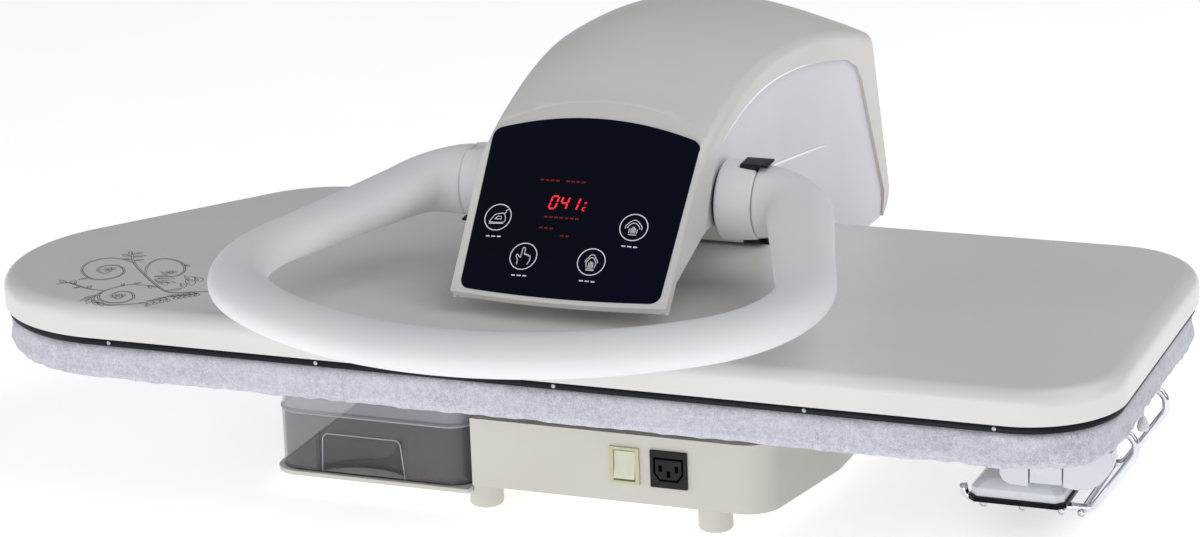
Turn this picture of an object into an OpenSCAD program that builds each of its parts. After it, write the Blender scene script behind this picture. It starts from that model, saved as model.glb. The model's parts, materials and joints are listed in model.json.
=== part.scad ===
// Steam ironing press: a table-top press with a hinged, heated upper plate, a padded board, a turning handle,
// a removable water tank and an accessory iron on a wire rest. Millimetres, +Z up, front towards -Y.

/* [Board outline] */
// Length of the upper cover
cover_l = 1000; // [960:1:1060]
// Right end of the upper cover
cover_right = 505; // [490:1:515]
// Depth of the upper cover
cover_d = 400; // [380:1:420]
// Radius of the two square-end corners
corner_r = 78; // [60:1:95]
// Radius of the nose
nose_r = 135; // [120:1:145]
// Radius where the taper meets the rear edge
shoulder_r = 100; // [80:1:120]
// Lengthwise position of the taper shoulder
shoulder_x = -285; // [-310:1:-260]

/* [Upper cover] */
// Height of the cover's lower edge above the table
cover_z = 132; // [130:0.5:136]
// Height of the cover from lower edge to top
cover_h = 27.5; // [25:0.5:30]
// Radius of the cover's top edge
cover_edge_r = 17; // [12:0.5:19]
// Wall of the cover moulding
cover_wall = 4; // [3:0.5:5]
// Set-back of the black rim band under the cover
rim_inset = 3; // [2:0.5:5]
// Width of the black rim band
rim_w = 9; // [7:0.5:12]
// Thickness of the press plate
plate_t = 3; // [2:0.5:4]
// Air gap between press plate and board fabric when closed
press_gap = 0.3; // [0.3:0.05:0.6]
// Diameter of a steam hole
steam_hole_d = 4; // [3:0.5:5]
// Spacing of the steam holes
steam_pitch = 44; // [40:1:60]

/* [Board] */
// Set-back of the padded board's sides from the cover
board_inset = 5; // [4:0.5:10]
// Height of the fabric hem above the table
hem_z = 94; // [93:0.5:96]
// Thickness of the fabric cover
fabric_t = 1.2; // [1:0.1:1.6]
// Thickness of the foam pad
pad_t = 14; // [12:0.5:15]
// Height of the tray's rim
tray_h = 12; // [10:0.5:13]
// Sheet thickness of the tray
tray_t = 1.5; // [1.2:0.1:2]
// Depth of a gather in the hem
gather_h = 2.2; // [1:0.1:3]

/* [Head] */
// Sideways position of the head's middle
head_x = 36; // [30:1:42]
// Half width of the head at the handle
head_w = 98; // [95:0.5:101]
// Extra half width at the back
head_flare = 24; // [20:1:28]
// Back of the head at its top corner
head_back = 341; // [335:1:350]
// Backward lean of the rear wall over its height
back_lean = 33; // [25:1:36]
// Height of the top of the crown
crown_z = 352; // [345:0.5:360]
// Radius of the crown seen from the side
crown_side_r = 370; // [350:1:400]
// Depth position of the crown's highest point
crown_y = 180; // [172:1:188]
// Greatest height of the shoulder line
shoulder_z = 321.5; // [315:0.5:326]
// Depth position of that greatest height
shoulder_y = 140; // [130:1:150]
// Height of the shoulder line at the hinge end of the panel
shoulder_front_z = 294.5; // [290:0.5:298]
// Height of the shoulder line at the back
shoulder_back_z = 292; // [286:0.5:296]
// Radius of the shoulder between top and side
shoulder_fillet = 11; // [8:0.5:14]
// Wall of the head mouldings
head_wall = 3.2; // [2.6:0.2:3.6]
// Step from the shell down to the side panel
panel_step = 2.2; // [1.6:0.2:3]
// Gap round a side panel
panel_gap = 0.5; // [0.3:0.1:0.8]

/* [Control panel] */
// Lean of the control panel from the vertical
panel_lean = 41.3; // [39:0.1:43]
// Depth position of the panel's lower edge
panel_y = -122; // [-126:1:-118]
// Height of the panel's lower edge
panel_z = 178; // [176:1:184]
// Height of the black glass along its slope at the sides
glass_h = 143; // [138:1:146]
// Half width of the glass at the bottom
glass_w = 89; // [86:0.5:92]
// Extra half width of the glass at the top
glass_flare = 4.5; // [2:0.5:6]
// Rise of the crowned top edge
glass_crown = 18; // [14:0.5:20]
// Corner radius of the glass
glass_r = 9; // [6:0.5:12]
// Thickness of the glass
glass_t = 4; // [3:0.5:5]
// Width of the cream bezel round the glass
bezel_w = 8.5; // [7:0.5:10]
// Depth of the bezel behind the glass face
bezel_t = 6; // [5.5:0.5:8]

/* [Hinge] */
// Depth position of the hinge axis
hinge_y = 285; // [280:1:290]
// Height of the hinge axis
hinge_z = 150; // [146:1:154]
// Radius of the hinge shaft
shaft_r = 9; // [8:0.5:10]
// Running clearance of shafts
run_fit = 0.05; // [0.02:0.01:0.08]
// Distance of an arm from the head's middle
arm_x = 72; // [70:1:76]
// Thickness of an arm plate
arm_t = 5; // [4:0.5:6]
// Distance of a tower cheek from the head's middle
cheek_x = 46; // [42:1:50]
// Thickness of a tower cheek
cheek_t = 5; // [4:0.5:6]
// Half width of the tower cover
tower_w = 60; // [57:1:62]
// Radius of the tower cover's round top
tower_r = 46; // [42:1:48]
// Wall of the tower cover
tower_wall = 2.5; // [2:0.1:3]

/* [Handle] */
// Depth position of the handle axis
handle_y = 10; // [6:1:16]
// Height of the handle axis
handle_z = 230.3; // [228:0.1:232]
// Radius of the handle shaft
handle_shaft_r = 8; // [7:0.5:9]
// Downward slope of the handle towards the front
handle_slope = 3.4; // [2:0.1:5]
// Radius of the steel handle tube
tube_r = 10; // [9:0.5:11]
// Width of the foam grip
grip_w = 48; // [42:1:52]
// Height of the foam grip
grip_h = 33; // [29:1:36]
// Where a grip begins, from the head's middle
grip_from = 130; // [126:1:134]
// First bend radius
bend1_r = 45; // [42:1:50]
// First bend angle
bend1_a = 70; // [66:1:74]
// Length of the side run
side_run = 155; // [145:1:165]
// Corner bend radius
bend2_r = 116; // [108:1:124]
// Corner bend angle
bend2_a = 72; // [68:1:76]
// Radius of a grip socket at the head
socket_r = 34; // [33:0.5:38]

/* [Base] */
// Height of the feet
foot_h = 21.6; // [20:0.2:24]
// Diameter of a foot
foot_d = 28.2; // [26:0.2:32]
// Front face of the base
base_front = -161; // [-166:1:-156]
// Back face of the base
base_back = 338; // [334:1:342]
// Left end of the base's front panel
base_left = -31; // [-34:1:-28]
// Right end of the base's front panel
base_right = 223; // [216:1:228]
// Extra width of the base behind its flared cheek
base_flare = 24; // [18:1:28]
// Top of the base housing
base_top = 80; // [78:1:82]
// Wall of the base housing
base_wall = 3; // [2.5:0.1:4]
// Corner radius of the base
base_corner = 28; // [20:1:32]

/* [Water tank] */
// Width of the tank
tank_w = 177; // [172:1:178]
// Depth of the tank
tank_d = 232; // [220:1:236]
// Height of the tub below its rim line
tub_h = 51; // [48:0.5:53]
// Height of the lid above the rim line
lid_h = 14; // [11:0.5:15]
// Wall of the tank
tank_wall = 2.2; // [1.8:0.1:2.8]
// Corner radius of the tank
tank_r = 22; // [16:1:26]
// Thickness of the ledge under the tank
ledge_t = 4; // [3.5:0.1:5]
// Width of the finger recess
recess_w = 72; // [60:1:80]
// Depth of the finger recess
recess_d = 26; // [22:1:30]
// Height of the finger recess
recess_h = 28; // [24:1:31]

/* [Electrics] */
// Width of the switch frame
switch_w = 25.6; // [24:0.2:27]
// Height of the switch frame
switch_h = 31.2; // [30:0.2:33]
// Sideways position of the switch
switch_x = 104; // [98:1:108]
// Size of the square outlet face
outlet_w = 31.5; // [30:0.5:33]
// Sideways position of the outlet
outlet_x = 142; // [138:1:150]
// Height of the middle of switch and outlet
switch_z = 53.4; // [51:0.2:55]
// Sideways position of the mains inlet
inlet_x = 150; // [130:1:170]

/* [Accessory iron] */
// Depth position of the iron's heel
heel_y = -96; // [-104:1:-90]
// Length of the iron
iron_l = 190; // [180:1:200]
// Width of the iron
iron_w = 80; // [76:1:92]
// Underside of the soleplate above the table
sole_z = 27; // [25:0.5:30]
// Diameter of the rest's wire
wire_d = 6.5; // [5:0.5:7]

/* [Hidden] */

cream = [0.90, 0.885, 0.845];
pale_grey = [0.80, 0.79, 0.81];
soft_black = [0.05, 0.05, 0.06];
steel = [0.70, 0.71, 0.73];
smoke = [0.35, 0.35, 0.37, 0.5];

// Samples round the board outline and round small sections
outline_n = 96;
round_n = 16;
arc_n = 48;
seat_gap = 0.3;
free_gap = 0.6;

cover_top = cover_z + cover_h;
board_top = cover_z - 6.7 - press_gap;
tray_z = board_top - fabric_t - pad_t - tray_h + tray_t;
pad_z = tray_z + tray_h - tray_t;
plate_z = board_top + press_gap;
plate_top = plate_z + plate_t;
cover_left = cover_right - cover_l;
rest_end = cover_right;
// The step in the underside where the head's front part meets its neck
neck_y = handle_y + 95;
// Gap beside the tank, and the base's rear half that reaches out behind it
tank_gap = 2.5;
tank_x = base_left - tank_gap - tank_w;
rear_left = tank_x - 3.5;
back_foot_z = 134;

// Head: half width, shoulder line and crown line over depth, and the leaning rear wall
function head_half(y) = head_w + 0.03 * min(y, 0) + head_flare * pow(max(y, 0) / head_back, 2);
function crease_z(y) = shoulder_z - (y < shoulder_y ? front_fall : back_fall) * pow(y - shoulder_y, 2);
function crown_arc(y) = crown_z - crown_side_r + sqrt(pow(crown_side_r, 2) - pow(y - crown_y, 2));
function crown_h(y) = crease_z(y) + max(crown_least, crown_arc(y) - crease_z(y));
function back_y(z) = head_back + back_lean * (crease_z(head_back) - z) / (crease_z(head_back) - back_foot_z);
front_fall = (shoulder_z - shoulder_front_z) / pow(shoulder_y, 2);
back_fall = (shoulder_z - shoulder_back_z) / pow(head_back - shoulder_y, 2);
crown_least = 14;

// Handle path in its own plane, from the head to the middle of the front: arcs that turn right, joined by a side run
function turn_right(p, h, r, a) = [p[0] + r * (sin(h) - sin(h - a)), p[1] - r * (cos(h) - cos(h - a))];
path_a = [grip_from, 0];
path_b = turn_right(path_a, 0, bend1_r, bend1_a);
path_c = path_b + side_run * [cos(bend1_a), -sin(bend1_a)];
path_d = turn_right(path_c, -bend1_a, bend2_r, bend2_a);
last_a = 180 - bend1_a - bend2_a;
bend3_r = path_d[0] / sin(last_a);
path_e = turn_right(path_d, -bend1_a - bend2_a, bend3_r, last_a);
grip_front = handle_y + (path_e[1] - grip_w / 2) * cos(handle_slope);

// The model stands with the middle of its whole box over the origin
mid_x = (rest_end + cover_left) / 2;
mid_y = (back_y(back_foot_z) + grip_front) / 2;
echo(mid_x = mid_x, mid_y = mid_y, length = rest_end - cover_left, depth = back_y(back_foot_z) - grip_front);

// Board outline: straight lines and arcs of four circles, sampled by direction, so that any set-back stays parallel
board_circles = [
    [cover_right - corner_r, corner_r - cover_d / 2, corner_r],
    [cover_right - corner_r, cover_d / 2 - corner_r, corner_r],
    [shoulder_x, cover_d / 2 - shoulder_r, shoulder_r],
    [cover_left + nose_r, nose_r - cover_d / 2, nose_r]];
function reach(c, a) = c[0] * cos(a) + c[1] * sin(a) + c[2];
function widest(a) = let (far = [for (c = board_circles) reach(c, a)]) board_circles[search(max(far), far)[0]];
function outline_at(a, out) = let (c = widest(a)) [c[0] + (c[2] + out) * cos(a), c[1] + (c[2] + out) * sin(a)];
function board_ring(out, z) = [for (i = [0 : outline_n - 1])
    let (p = outline_at(i * 360 / outline_n, out)) [p[0], p[1], z]];

module board_slab(out, z0, z1) {
    translate([0, 0, z0]) linear_extrude(z1 - z0) polygon([for (p = board_ring(out, 0)) [p[0], p[1]]]);
}

// Closed solid through rings of points that run round in the same sense. Stacked upwards it is filled; rings that
// go down an inside and up an outside make a shell. As a loop, the last ring joins the first.
module skin(rings, loop = false) {
    n = len(rings[0]);
    m = len(rings);
    walls = [for (j = [0 : m - (loop ? 1 : 2)], i = [0 : n - 1])
        let (a = j * n + i, b = j * n + (i + 1) % n, c = ((j + 1) % m) * n + i, d = ((j + 1) % m) * n + (i + 1) % n)
        each [[a, c, d], [a, d, b]]];
    caps = loop ? [] : [[for (i = [0 : n - 1]) i], [for (i = [n - 1 : -1 : 0]) (m - 1) * n + i]];
    polyhedron([for (r = rings) each r], concat(walls, caps));
}

// Path with each corner rounded over the given length
function soft_corners(p, b) = concat([p[0]], [for (i = [1 : len(p) - 2])
        let (u = (p[i - 1] - p[i]) / norm(p[i - 1] - p[i]) * b, v = (p[i + 1] - p[i]) / norm(p[i + 1] - p[i]) * b)
        each [for (s = [0, 0.33, 0.67, 1]) p[i] + (1 - s) * (1 - s) * u + s * s * v]], [p[len(p) - 1]]);
// Round wire or hose along a path; ref is a direction that the path never takes
module wire(path, r, ref, sides = 8) {
    m = len(path);
    function along(i) = path[min(i + 1, m - 1)] - path[max(i - 1, 0)];
    skin([for (i = [0 : m - 1]) let (d = along(i) / norm(along(i)), u = cross(ref, d) / norm(cross(ref, d)), v = cross(d, u))
        [for (k = [0 : sides - 1]) path[i] + r * (cos(k * 360 / sides) * u + sin(k * 360 / sides) * v)]]);
}

module place() { translate([-mid_x, -mid_y, 0]) children(); }
module on_head() { place() translate([head_x, 0, 0]) children(); }
module both_sides() { children(); mirror([1, 0, 0]) children(); }
module along_x(r, from, to) { translate([from, 0, 0]) rotate([0, 90, 0]) cylinder(h = to - from, r = r, $fn = arc_n); }
module along_y(r, from, to) { translate([0, to, 0]) rotate([90, 0, 0]) cylinder(h = to - from, r = r, $fn = arc_n); }
module block(x0, x1, y0, y1, z0, z1) { translate([x0, y0, z0]) cube([x1 - x0, y1 - y0, z1 - z0]); }
module side_plate(x0, x1) { translate([x0, 0, 0]) rotate([90, 0, 90]) linear_extrude(x1 - x0) children(); }

// Base

module base_plan(inset) {
    l = base_left + inset;
    f = base_front + inset;
    r = base_right - inset;
    b = base_back - inset;
    rl = rear_left + inset;
    bay = bay_back + inset;
    offset(r = base_corner - inset) offset(delta = inset - base_corner)
        polygon([[l, f], [r, f], [r + base_flare, f + base_flare * 5], [r + base_flare, b], [rl, b], [rl, bay], [l, bay]]);
    translate([l, f]) square([base_corner, base_corner]);
    translate([rl, bay]) square([base_corner, base_corner]);
}
bay_back = base_front + tank_d + free_gap * 2;
tower_slot_y = [hinge_y - tower_r + 4, hinge_y + tower_r - 6];

module base_housing() {
    color(cream) place() difference() {
        translate([0, 0, foot_h]) linear_extrude(base_top - foot_h) base_plan(0);
        translate([0, 0, foot_h - 1]) linear_extrude(base_top - foot_h - base_wall + 1) base_plan(base_wall);
        panel_hole(switch_x, switch_w - 4, switch_h - 4, base_front);
        panel_hole(outlet_x, outlet_w - 5, outlet_w - 5, base_front);
        panel_hole(inlet_x, 27, 20, base_back - base_wall);
        block(head_x - cheek_x - cheek_t - 2, head_x + cheek_x + cheek_t + 2,
            tower_slot_y[0], tower_slot_y[1], base_top - 10, base_top + 1);
        translate([dock_x, 0, dock_z]) along_y(dock_r + seat_gap, bay_back - 1, bay_back + base_wall + 1);
    }
}
module panel_hole(x, w, h, y) { block(x - w / 2, x + w / 2, y - 1, y + base_wall + 1, switch_z - h / 2, switch_z + h / 2); }

plate_lift = 1.5;
module base_plate() {
    inset = base_wall + seat_gap;
    color(steel) place() difference() {
        translate([0, 0, foot_h]) linear_extrude(plate_lift) base_plan(inset);
        for (i = [0 : 7]) block(20 + i * 16, 26 + i * 16, 20, 90, foot_h - 1, foot_h + plate_lift + 1);
    }
}

// The shelf in front that the tank stands on, with a raised lip
ledge_z = foot_h - 6.6;
module ledge_plan(inset) {
    offset(r = tank_r - inset) offset(delta = inset - tank_r)
        polygon([[rear_left + inset, base_front - 4 + inset], [base_left + 30, base_front - 4 + inset],
            [base_left + 30, bay_back + 22], [rear_left + inset, bay_back + 22]]);
}
foot_cut_x = base_left - 2;
ledge_tie = base_left + 40;
module tank_ledge() {
    color(cream) place() {
        intersection() {
            translate([0, 0, ledge_z]) linear_extrude(ledge_t) ledge_plan(0);
            block(rear_left - 1, foot_cut_x - seat_gap, base_front - 10, bay_back, 0, 60);
        }
        block(foot_cut_x - 1, ledge_tie, -110, 60, ledge_z, ledge_z + ledge_t);
        block(base_left + 1, ledge_tie, -110, 60, ledge_z + ledge_t - 0.1, foot_h);
    }
}

foot_spots = [[base_left + 4.5, base_front + 18], [base_right - 49, base_front + 18],
    [rear_left + 34, base_back - 42], [base_right - 11, base_back - 42]];
module feet() {
    color(cream) place() for (p = foot_spots) translate([p[0], p[1], 0]) difference() {
        union() {
            cylinder(h = 2, r1 = foot_d / 2 - 2, r2 = foot_d / 2, $fn = arc_n);
            translate([0, 0, 2]) cylinder(h = foot_h - 2, d = foot_d, $fn = arc_n);
        }
        translate([0, 0, -1]) cylinder(h = 9, r = foot_bore, $fn = arc_n);
        // The foot beside the tank is cut flat there
        if (p[0] > base_left && p[0] < 0) block(-30, foot_cut_x - p[0], -30, 30, ledge_z - seat_gap, foot_h + 1);
    }
}
foot_bore = 5;
screw_head_r = 4;
module base_screws() {
    color(steel) place() for (p = foot_spots) translate([p[0], p[1], 5]) {
        cylinder(h = 3, r = screw_head_r, $fn = arc_n);
    }
}

// Electrics on the front and back

module switch_frame() {
    color([0.80, 0.86, 0.72]) place() translate([switch_x, base_front, switch_z]) difference() {
        union() {
            block(-switch_w / 2, switch_w / 2, -2.2, 0, -switch_h / 2, switch_h / 2);
            block(-switch_w / 2 + 2.3, switch_w / 2 - 2.3, 0, 24, -switch_h / 2 + 2.3, switch_h / 2 - 2.3);
        }
        block(-rocker_w / 2 - seat_gap, rocker_w / 2 + seat_gap, -5, 11, -rocker_h / 2 - 0.5, rocker_h / 2 + 0.5);
        translate([0, rocker_axis[0] - base_front, 0]) along_x(pin_r + run_fit, -switch_w, switch_w);
    }
}
rocker_w = switch_w - 7.6;
rocker_h = switch_h - 6;
rocker_axis = [base_front + 3, switch_z];
rocker_swing = 12;
pin_r = 1.5;
module power_rocker() {
    color([0.84, 0.91, 0.76]) place() translate([switch_x, rocker_axis[0], rocker_axis[1]])
        rotate([-rocker_swing / 2, 0, 0]) {
            side_plate(-rocker_w / 2, rocker_w / 2) polygon([[-5, 1 - rocker_h / 2], [3, 1.6 - rocker_h / 2],
                [3, rocker_h / 2 - 1.6], [-5, rocker_h / 2 - 1], [-3.6, 0]]);
            along_x(pin_r, -rocker_w / 2 - 1.2, rocker_w / 2 + 1.2);
        }
}

module iron_outlet() {
    color(soft_black) place() translate([outlet_x, base_front, switch_z]) difference() {
        union() {
            block(-outlet_w / 2, outlet_w / 2, -2.4, 0, -outlet_w / 2, outlet_w / 2);
            block(3 - outlet_w / 2, outlet_w / 2 - 3, 0, 26, 3 - outlet_w / 2, outlet_w / 2 - 3);
        }
        socket_ring(22.5, 17, 1.4);
        for (s = [[-7, 1], [7, 1], [0, -3.5]]) block(s[0] - 1.4, s[0] + 1.4, -5, 15, s[1] - 2.6, s[1] + 2.6);
    }
}
// Groove round the three contacts, with its two lower corners cut off
module socket_plan(w, h) { polygon([[-w / 2, h / 2], [w / 2, h / 2], [w / 2, -h / 6], [w / 3.2, -h / 2], [-w / 3.2, -h / 2], [-w / 2, -h / 6]]); }
module socket_ring(w, h, t) {
    translate([0, 12, 0]) rotate([90, 0, 0]) linear_extrude(16) difference() {
        socket_plan(w + t * 2, h + t * 2);
        socket_plan(w, h);
    }
}

module mains_inlet() {
    color(soft_black) place() translate([inlet_x, base_back, switch_z]) {
        difference() {
            union() {
                block(-25, 25, 0, 3, -12, 12);
                block(-13.2, 13.2, -24, 0, -9.7, 9.7);
            }
            translate([0, 8, 0]) rotate([90, 0, 0]) linear_extrude(24) socket_plan(23, 15.5);
        }
        for (s = [[-7, 0.5], [7, 0.5], [0, -2.5]]) block(s[0] - 1, s[0] + 1, -17, 0.5, s[1] - 2, s[1] + 2);
    }
}

// Water circuit

dock_x = tank_x + 90.5;
dock_z = 34;
dock_r = 9;
module dock_valve() {
    color(soft_black) place() translate([dock_x, 0, dock_z]) difference() {
        union() {
            along_y(dock_r, bay_back - 0.2, bay_back + 16);
            along_y(dock_r + 1.5, bay_back + base_wall + 0.2, bay_back + base_wall + 3);
            along_y(5, bay_back + 15, bay_back + 26);
        }
        along_y(3, bay_back - 2, bay_back + 27);
    }
}

pump_at = [dock_x, bay_back + 117.8, 46];
pump_l = 96;
module pump() {
    color([0.25, 0.25, 0.28]) place() translate(pump_at) {
        along_y(17, -pump_l / 2, pump_l / 2 - 34);
        along_y(9, pump_l / 2 - 34, pump_l / 2);
        block(-21, 21, -pump_l / 2 + 14, pump_l / 2 - 44, -20, 20);
        along_y(4, -pump_l / 2 - 14, -pump_l / 2);
        along_y(4, pump_l / 2, pump_l / 2 + 10);
    }
}
module pump_rings() {
    color(soft_black) place() translate(pump_at) for (y = [-pump_l / 2 + 3, pump_l / 2 - 26]) difference() {
        union() {
            along_y(23, y, y + 7);
            block(-16, 16, y, y + 7, foot_h + plate_lift - pump_at[2], 0);
        }
        along_y(y < 0 ? 17 : 9, y - 1, y + 8);
    }
}
hose_r = 5.5;
module hose_piece(points, bend) { color([0.82, 0.83, 0.84]) place() wire(soft_corners(points, bend), hose_r, [1, -1, 0.3], 12); }
module feed_hose() {
    y0 = bay_back + 26;
    y1 = pump_at[1] - pump_l / 2 - 14;
    hose_piece([[dock_x, y0 + seat_gap, dock_z], [dock_x, y0 + 9.5, dock_z], [dock_x, y1 - 9.5, pump_at[2]],
        [dock_x, y1 - seat_gap, pump_at[2]]], 4.5);
}
riser_y = 262;
riser_x = head_x - 12;
module riser_hose() {
    y = pump_at[1] + pump_l / 2 + 10;
    z = pump_at[2];
    hose_piece([[dock_x, y + seat_gap, z], [dock_x, y + 14, z], [dock_x + 30, y + 14, z], [base_left, riser_y - 26, z],
        [riser_x - 14, riser_y - 26, z], [riser_x, riser_y - 14, z + 12], [riser_x, riser_y, z + 34], [riser_x, riser_y, hinge_z - 42]], 9);
}

module power_board() {
    color([0.12, 0.35, 0.20]) place() translate([40, 130, foot_h + plate_lift + 6]) {
        block(0, 150, 0, 95, 0, 1.6);
        block(8, 34, 10, 40, 1.6, 26);
        block(44, 74, 8, 34, 1.6, 20);
        for (x = [90, 112, 134]) translate([x, 24, 1.6]) cylinder(h = 22, r = 8, $fn = arc_n);
        block(20, 130, 60, 64, 1.6, 30);
        block(20, 60, 76, 90, 1.6, 12);
        for (x = [6, 144], y = [6, 89]) translate([x, y, -6]) cylinder(h = 6, r = 4, $fn = arc_n);
    }
}

// Hinge tower

cheek_y = [hinge_y - tower_r + 8, hinge_y + tower_r - 10];
module cheek_profile() {
    translate([hinge_y, hinge_z]) circle(r = 26, $fn = arc_n);
    polygon([[cheek_y[0], foot_h + plate_lift], [cheek_y[1], foot_h + plate_lift], [cheek_y[1], 104],
        [hinge_y + 26, hinge_z], [hinge_y - 26, hinge_z], [cheek_y[0], 104]]);
}
module hinge_tower() {
    color(steel) on_head() difference() {
        union() {
            both_sides() side_plate(cheek_x, cheek_x + cheek_t) cheek_profile();
            block(-cheek_x - cheek_t, cheek_x + cheek_t, cheek_y[0], cheek_y[1], foot_h + plate_lift, foot_h + plate_lift + 4);
            block(-cheek_x, cheek_x, cheek_y[1] - 4, cheek_y[1], foot_h + plate_lift, 104);
        }
        translate([0, hinge_y, hinge_z]) along_x(shaft_r + run_fit, -cheek_x - 20, cheek_x + 20);
    }
}
module tower_profile(inset) {
    translate([hinge_y, hinge_z]) circle(r = tower_r - inset, $fn = 2 * arc_n);
    translate([hinge_y - tower_r + inset, base_top - inset]) square([2 * (tower_r - inset), hinge_z - base_top + inset]);
}
module tower_cover() {
    color(cream) on_head() difference() {
        side_plate(-tower_w, tower_w) tower_profile(0);
        side_plate(-tower_w + tower_wall, tower_w - tower_wall) tower_profile(tower_wall);
        translate([0, hinge_y, hinge_z]) along_x(shaft_r + 2, -tower_w - 5, tower_w + 5);
    }
}
shaft_end = arm_x + arm_t + 9;
module hinge_shaft() {
    color(steel) on_head() translate([0, hinge_y, hinge_z]) difference() {
        along_x(shaft_r, -shaft_end, shaft_end);
        both_sides() difference() {
            along_x(shaft_r + 1, shaft_end - 4.1, shaft_end - 2.9);
            along_x(shaft_r - 1, shaft_end - 5, shaft_end);
        }
    }
}
module shaft_rings() {
    color(soft_black) on_head() translate([0, hinge_y, hinge_z]) both_sides() difference() {
        along_x(shaft_r + 5, shaft_end - 4, shaft_end - 3);
        along_x(shaft_r - 0.95, shaft_end - 6, shaft_end);
        block(shaft_end - 6, shaft_end, -2.5, 2.5, 0, shaft_r + 8);
    }
}

// Each spring is one unbroken helix between an eye on the base and a pin on an arm's tail
spring_r = 8;
spring_wire = 1.4;
spring_turns = 8;
tail = [hinge_y + 42.5, hinge_z + 11.4];
spring_from = base_top;
spring_to = tail[1] - 3;
module balance_springs() {
    steps = 10;
    sides = 5;
    coil = [for (i = [0 : spring_turns * steps]) let (a = i * 360 / steps,
            z = spring_from + spring_wire + (spring_to - spring_from - 2 * spring_wire) * i / (spring_turns * steps))
        [for (k = [0 : sides - 1]) let (b = k * 360 / sides, r = spring_r + spring_wire * cos(b))
            [r * cos(a), r * sin(a), z - spring_wire * sin(b)]]];
    echo(spring_gap = (spring_to - spring_from - 2 * spring_wire) / spring_turns - 2 * spring_wire);
    color(steel) on_head() both_sides() translate([spring_x, tail[0], 0]) skin(coil);
}
spring_x = arm_x + arm_t + 11;

// Board

module board_brackets() {
    from = base_front + 11;
    to = cover_d / 2 - 24;
    color(steel) place() for (x = [base_left + 17, base_right - 33]) difference() {
        block(x - 14, x + 14, from, to, base_top, tray_z);
        block(x - 11, x + 15, from - 1, to + 1, base_top + 2, tray_z - 2);
    }
}
tray_inset = board_inset + fabric_t + 4.2;
module board_tray() {
    color([0.85, 0.85, 0.84]) place() difference() {
        board_slab(-tray_inset, tray_z, tray_z + tray_h);
        board_slab(-tray_inset - tray_t, tray_z + tray_t, tray_z + tray_h + 1);
    }
}
module board_pad() {
    in = tray_inset + tray_t + 0.3;
    out = board_inset + fabric_t + seat_gap;
    color([0.93, 0.90, 0.78]) place() skin([board_ring(-in, tray_z + tray_t), board_ring(-in, tray_z + tray_h + 0.3),
        board_ring(-out, tray_z + tray_h + 0.6), board_ring(-out, board_top - 7), board_ring(-out - 2.5, board_top - 4.2),
        board_ring(-out - 8, board_top - fabric_t - seat_gap)]);
}
// The fabric is drawn down round the pad, and its elastic gathers the hem, most round the corners
function gather(i, amount) = amount * gather_h * sin(i * 360 / 4)
    * (0.35 + 0.65 * pow(abs(sin((i + 0.5) * 360 / outline_n * 2)), 2));
function fabric_ring(out, z, amount) = [for (i = [0 : outline_n - 1])
    let (p = outline_at(i * 360 / outline_n, out + gather(i, amount))) [p[0], p[1], z + gather(i, amount * 0.6)]];
function fabric_rings(t) = [fabric_ring(-board_inset - 3 - t, hem_z + 1, 1), fabric_ring(-board_inset + 1 - t, hem_z + 9, 0.4),
    fabric_ring(-board_inset - t, board_top - 14, 0), fabric_ring(-board_inset - t, board_top - 7, 0),
    fabric_ring(-board_inset - 2 - t, board_top - 3 - t / 2, 0), fabric_ring(-board_inset - 7 - t, board_top - t, 0)];
module board_fabric() {
    inner = fabric_rings(fabric_t);
    color([0.72, 0.73, 0.80]) place() skin(concat([for (i = [len(inner) - 1 : -1 : 0]) inner[i]], fabric_rings(0)));
}
toggle_at = [cover_right - board_inset - 3.3, -34, hem_z - 17];
module drawcord_toggle() {
    color([0.88, 0.88, 0.90]) place() translate(toggle_at) {
        rotate_extrude($fn = 24) polygon([[0, 0], [4, 1], [5, 4], [4.2, 8], [2.2, 12], [0, 13]]);
        cylinder(h = 17.9, r = 1, $fn = 13);
    }
}

// Water tank

tank_floor = ledge_z + ledge_t;
rim_z = tank_floor + tub_h;
module tank_plan(inset) {
    translate([tank_x + inset, base_front + inset]) offset(r = tank_r - inset) offset(delta = inset - tank_r)
        square([tank_w - 2 * inset, tank_d - 2 * inset]);
}
recess_x = tank_x + 44;
module finger_recess(extra) {
    block(recess_x - extra, recess_x + recess_w + extra, base_front - 5, base_front + recess_d + extra,
        tank_floor - 5, tank_floor + recess_h + extra);
}
module water_tank() {
    color(smoke) place() difference() {
        translate([0, 0, tank_floor]) linear_extrude(tub_h) tank_plan(0);
        difference() {
            translate([0, 0, tank_floor + tank_wall]) linear_extrude(tub_h) tank_plan(tank_wall);
            finger_recess(tank_wall);
        }
        finger_recess(0);
        translate([dock_x, 0, dock_z]) along_y(valve_r + run_fit, base_front + tank_d - 5, base_front + tank_d + 5);
    }
}
module tank_lid() {
    color(smoke) place() difference() {
        union() {
            translate([0, 0, rim_z]) linear_extrude(2) tank_plan(-0.8);
            translate([0, 0, rim_z + 2]) linear_extrude(lid_h - 2) tank_plan(1);
        }
        translate([0, 0, rim_z - 1]) linear_extrude(lid_h - tank_wall + 1) tank_plan(1 + tank_wall);
        translate([cap_at[0], cap_at[1], rim_z]) cylinder(h = lid_h + 5, r = cap_r + seat_gap, $fn = arc_n);
    }
}
cap_at = [tank_x + tank_w / 2, base_front + 52];
cap_r = 31;
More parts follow.
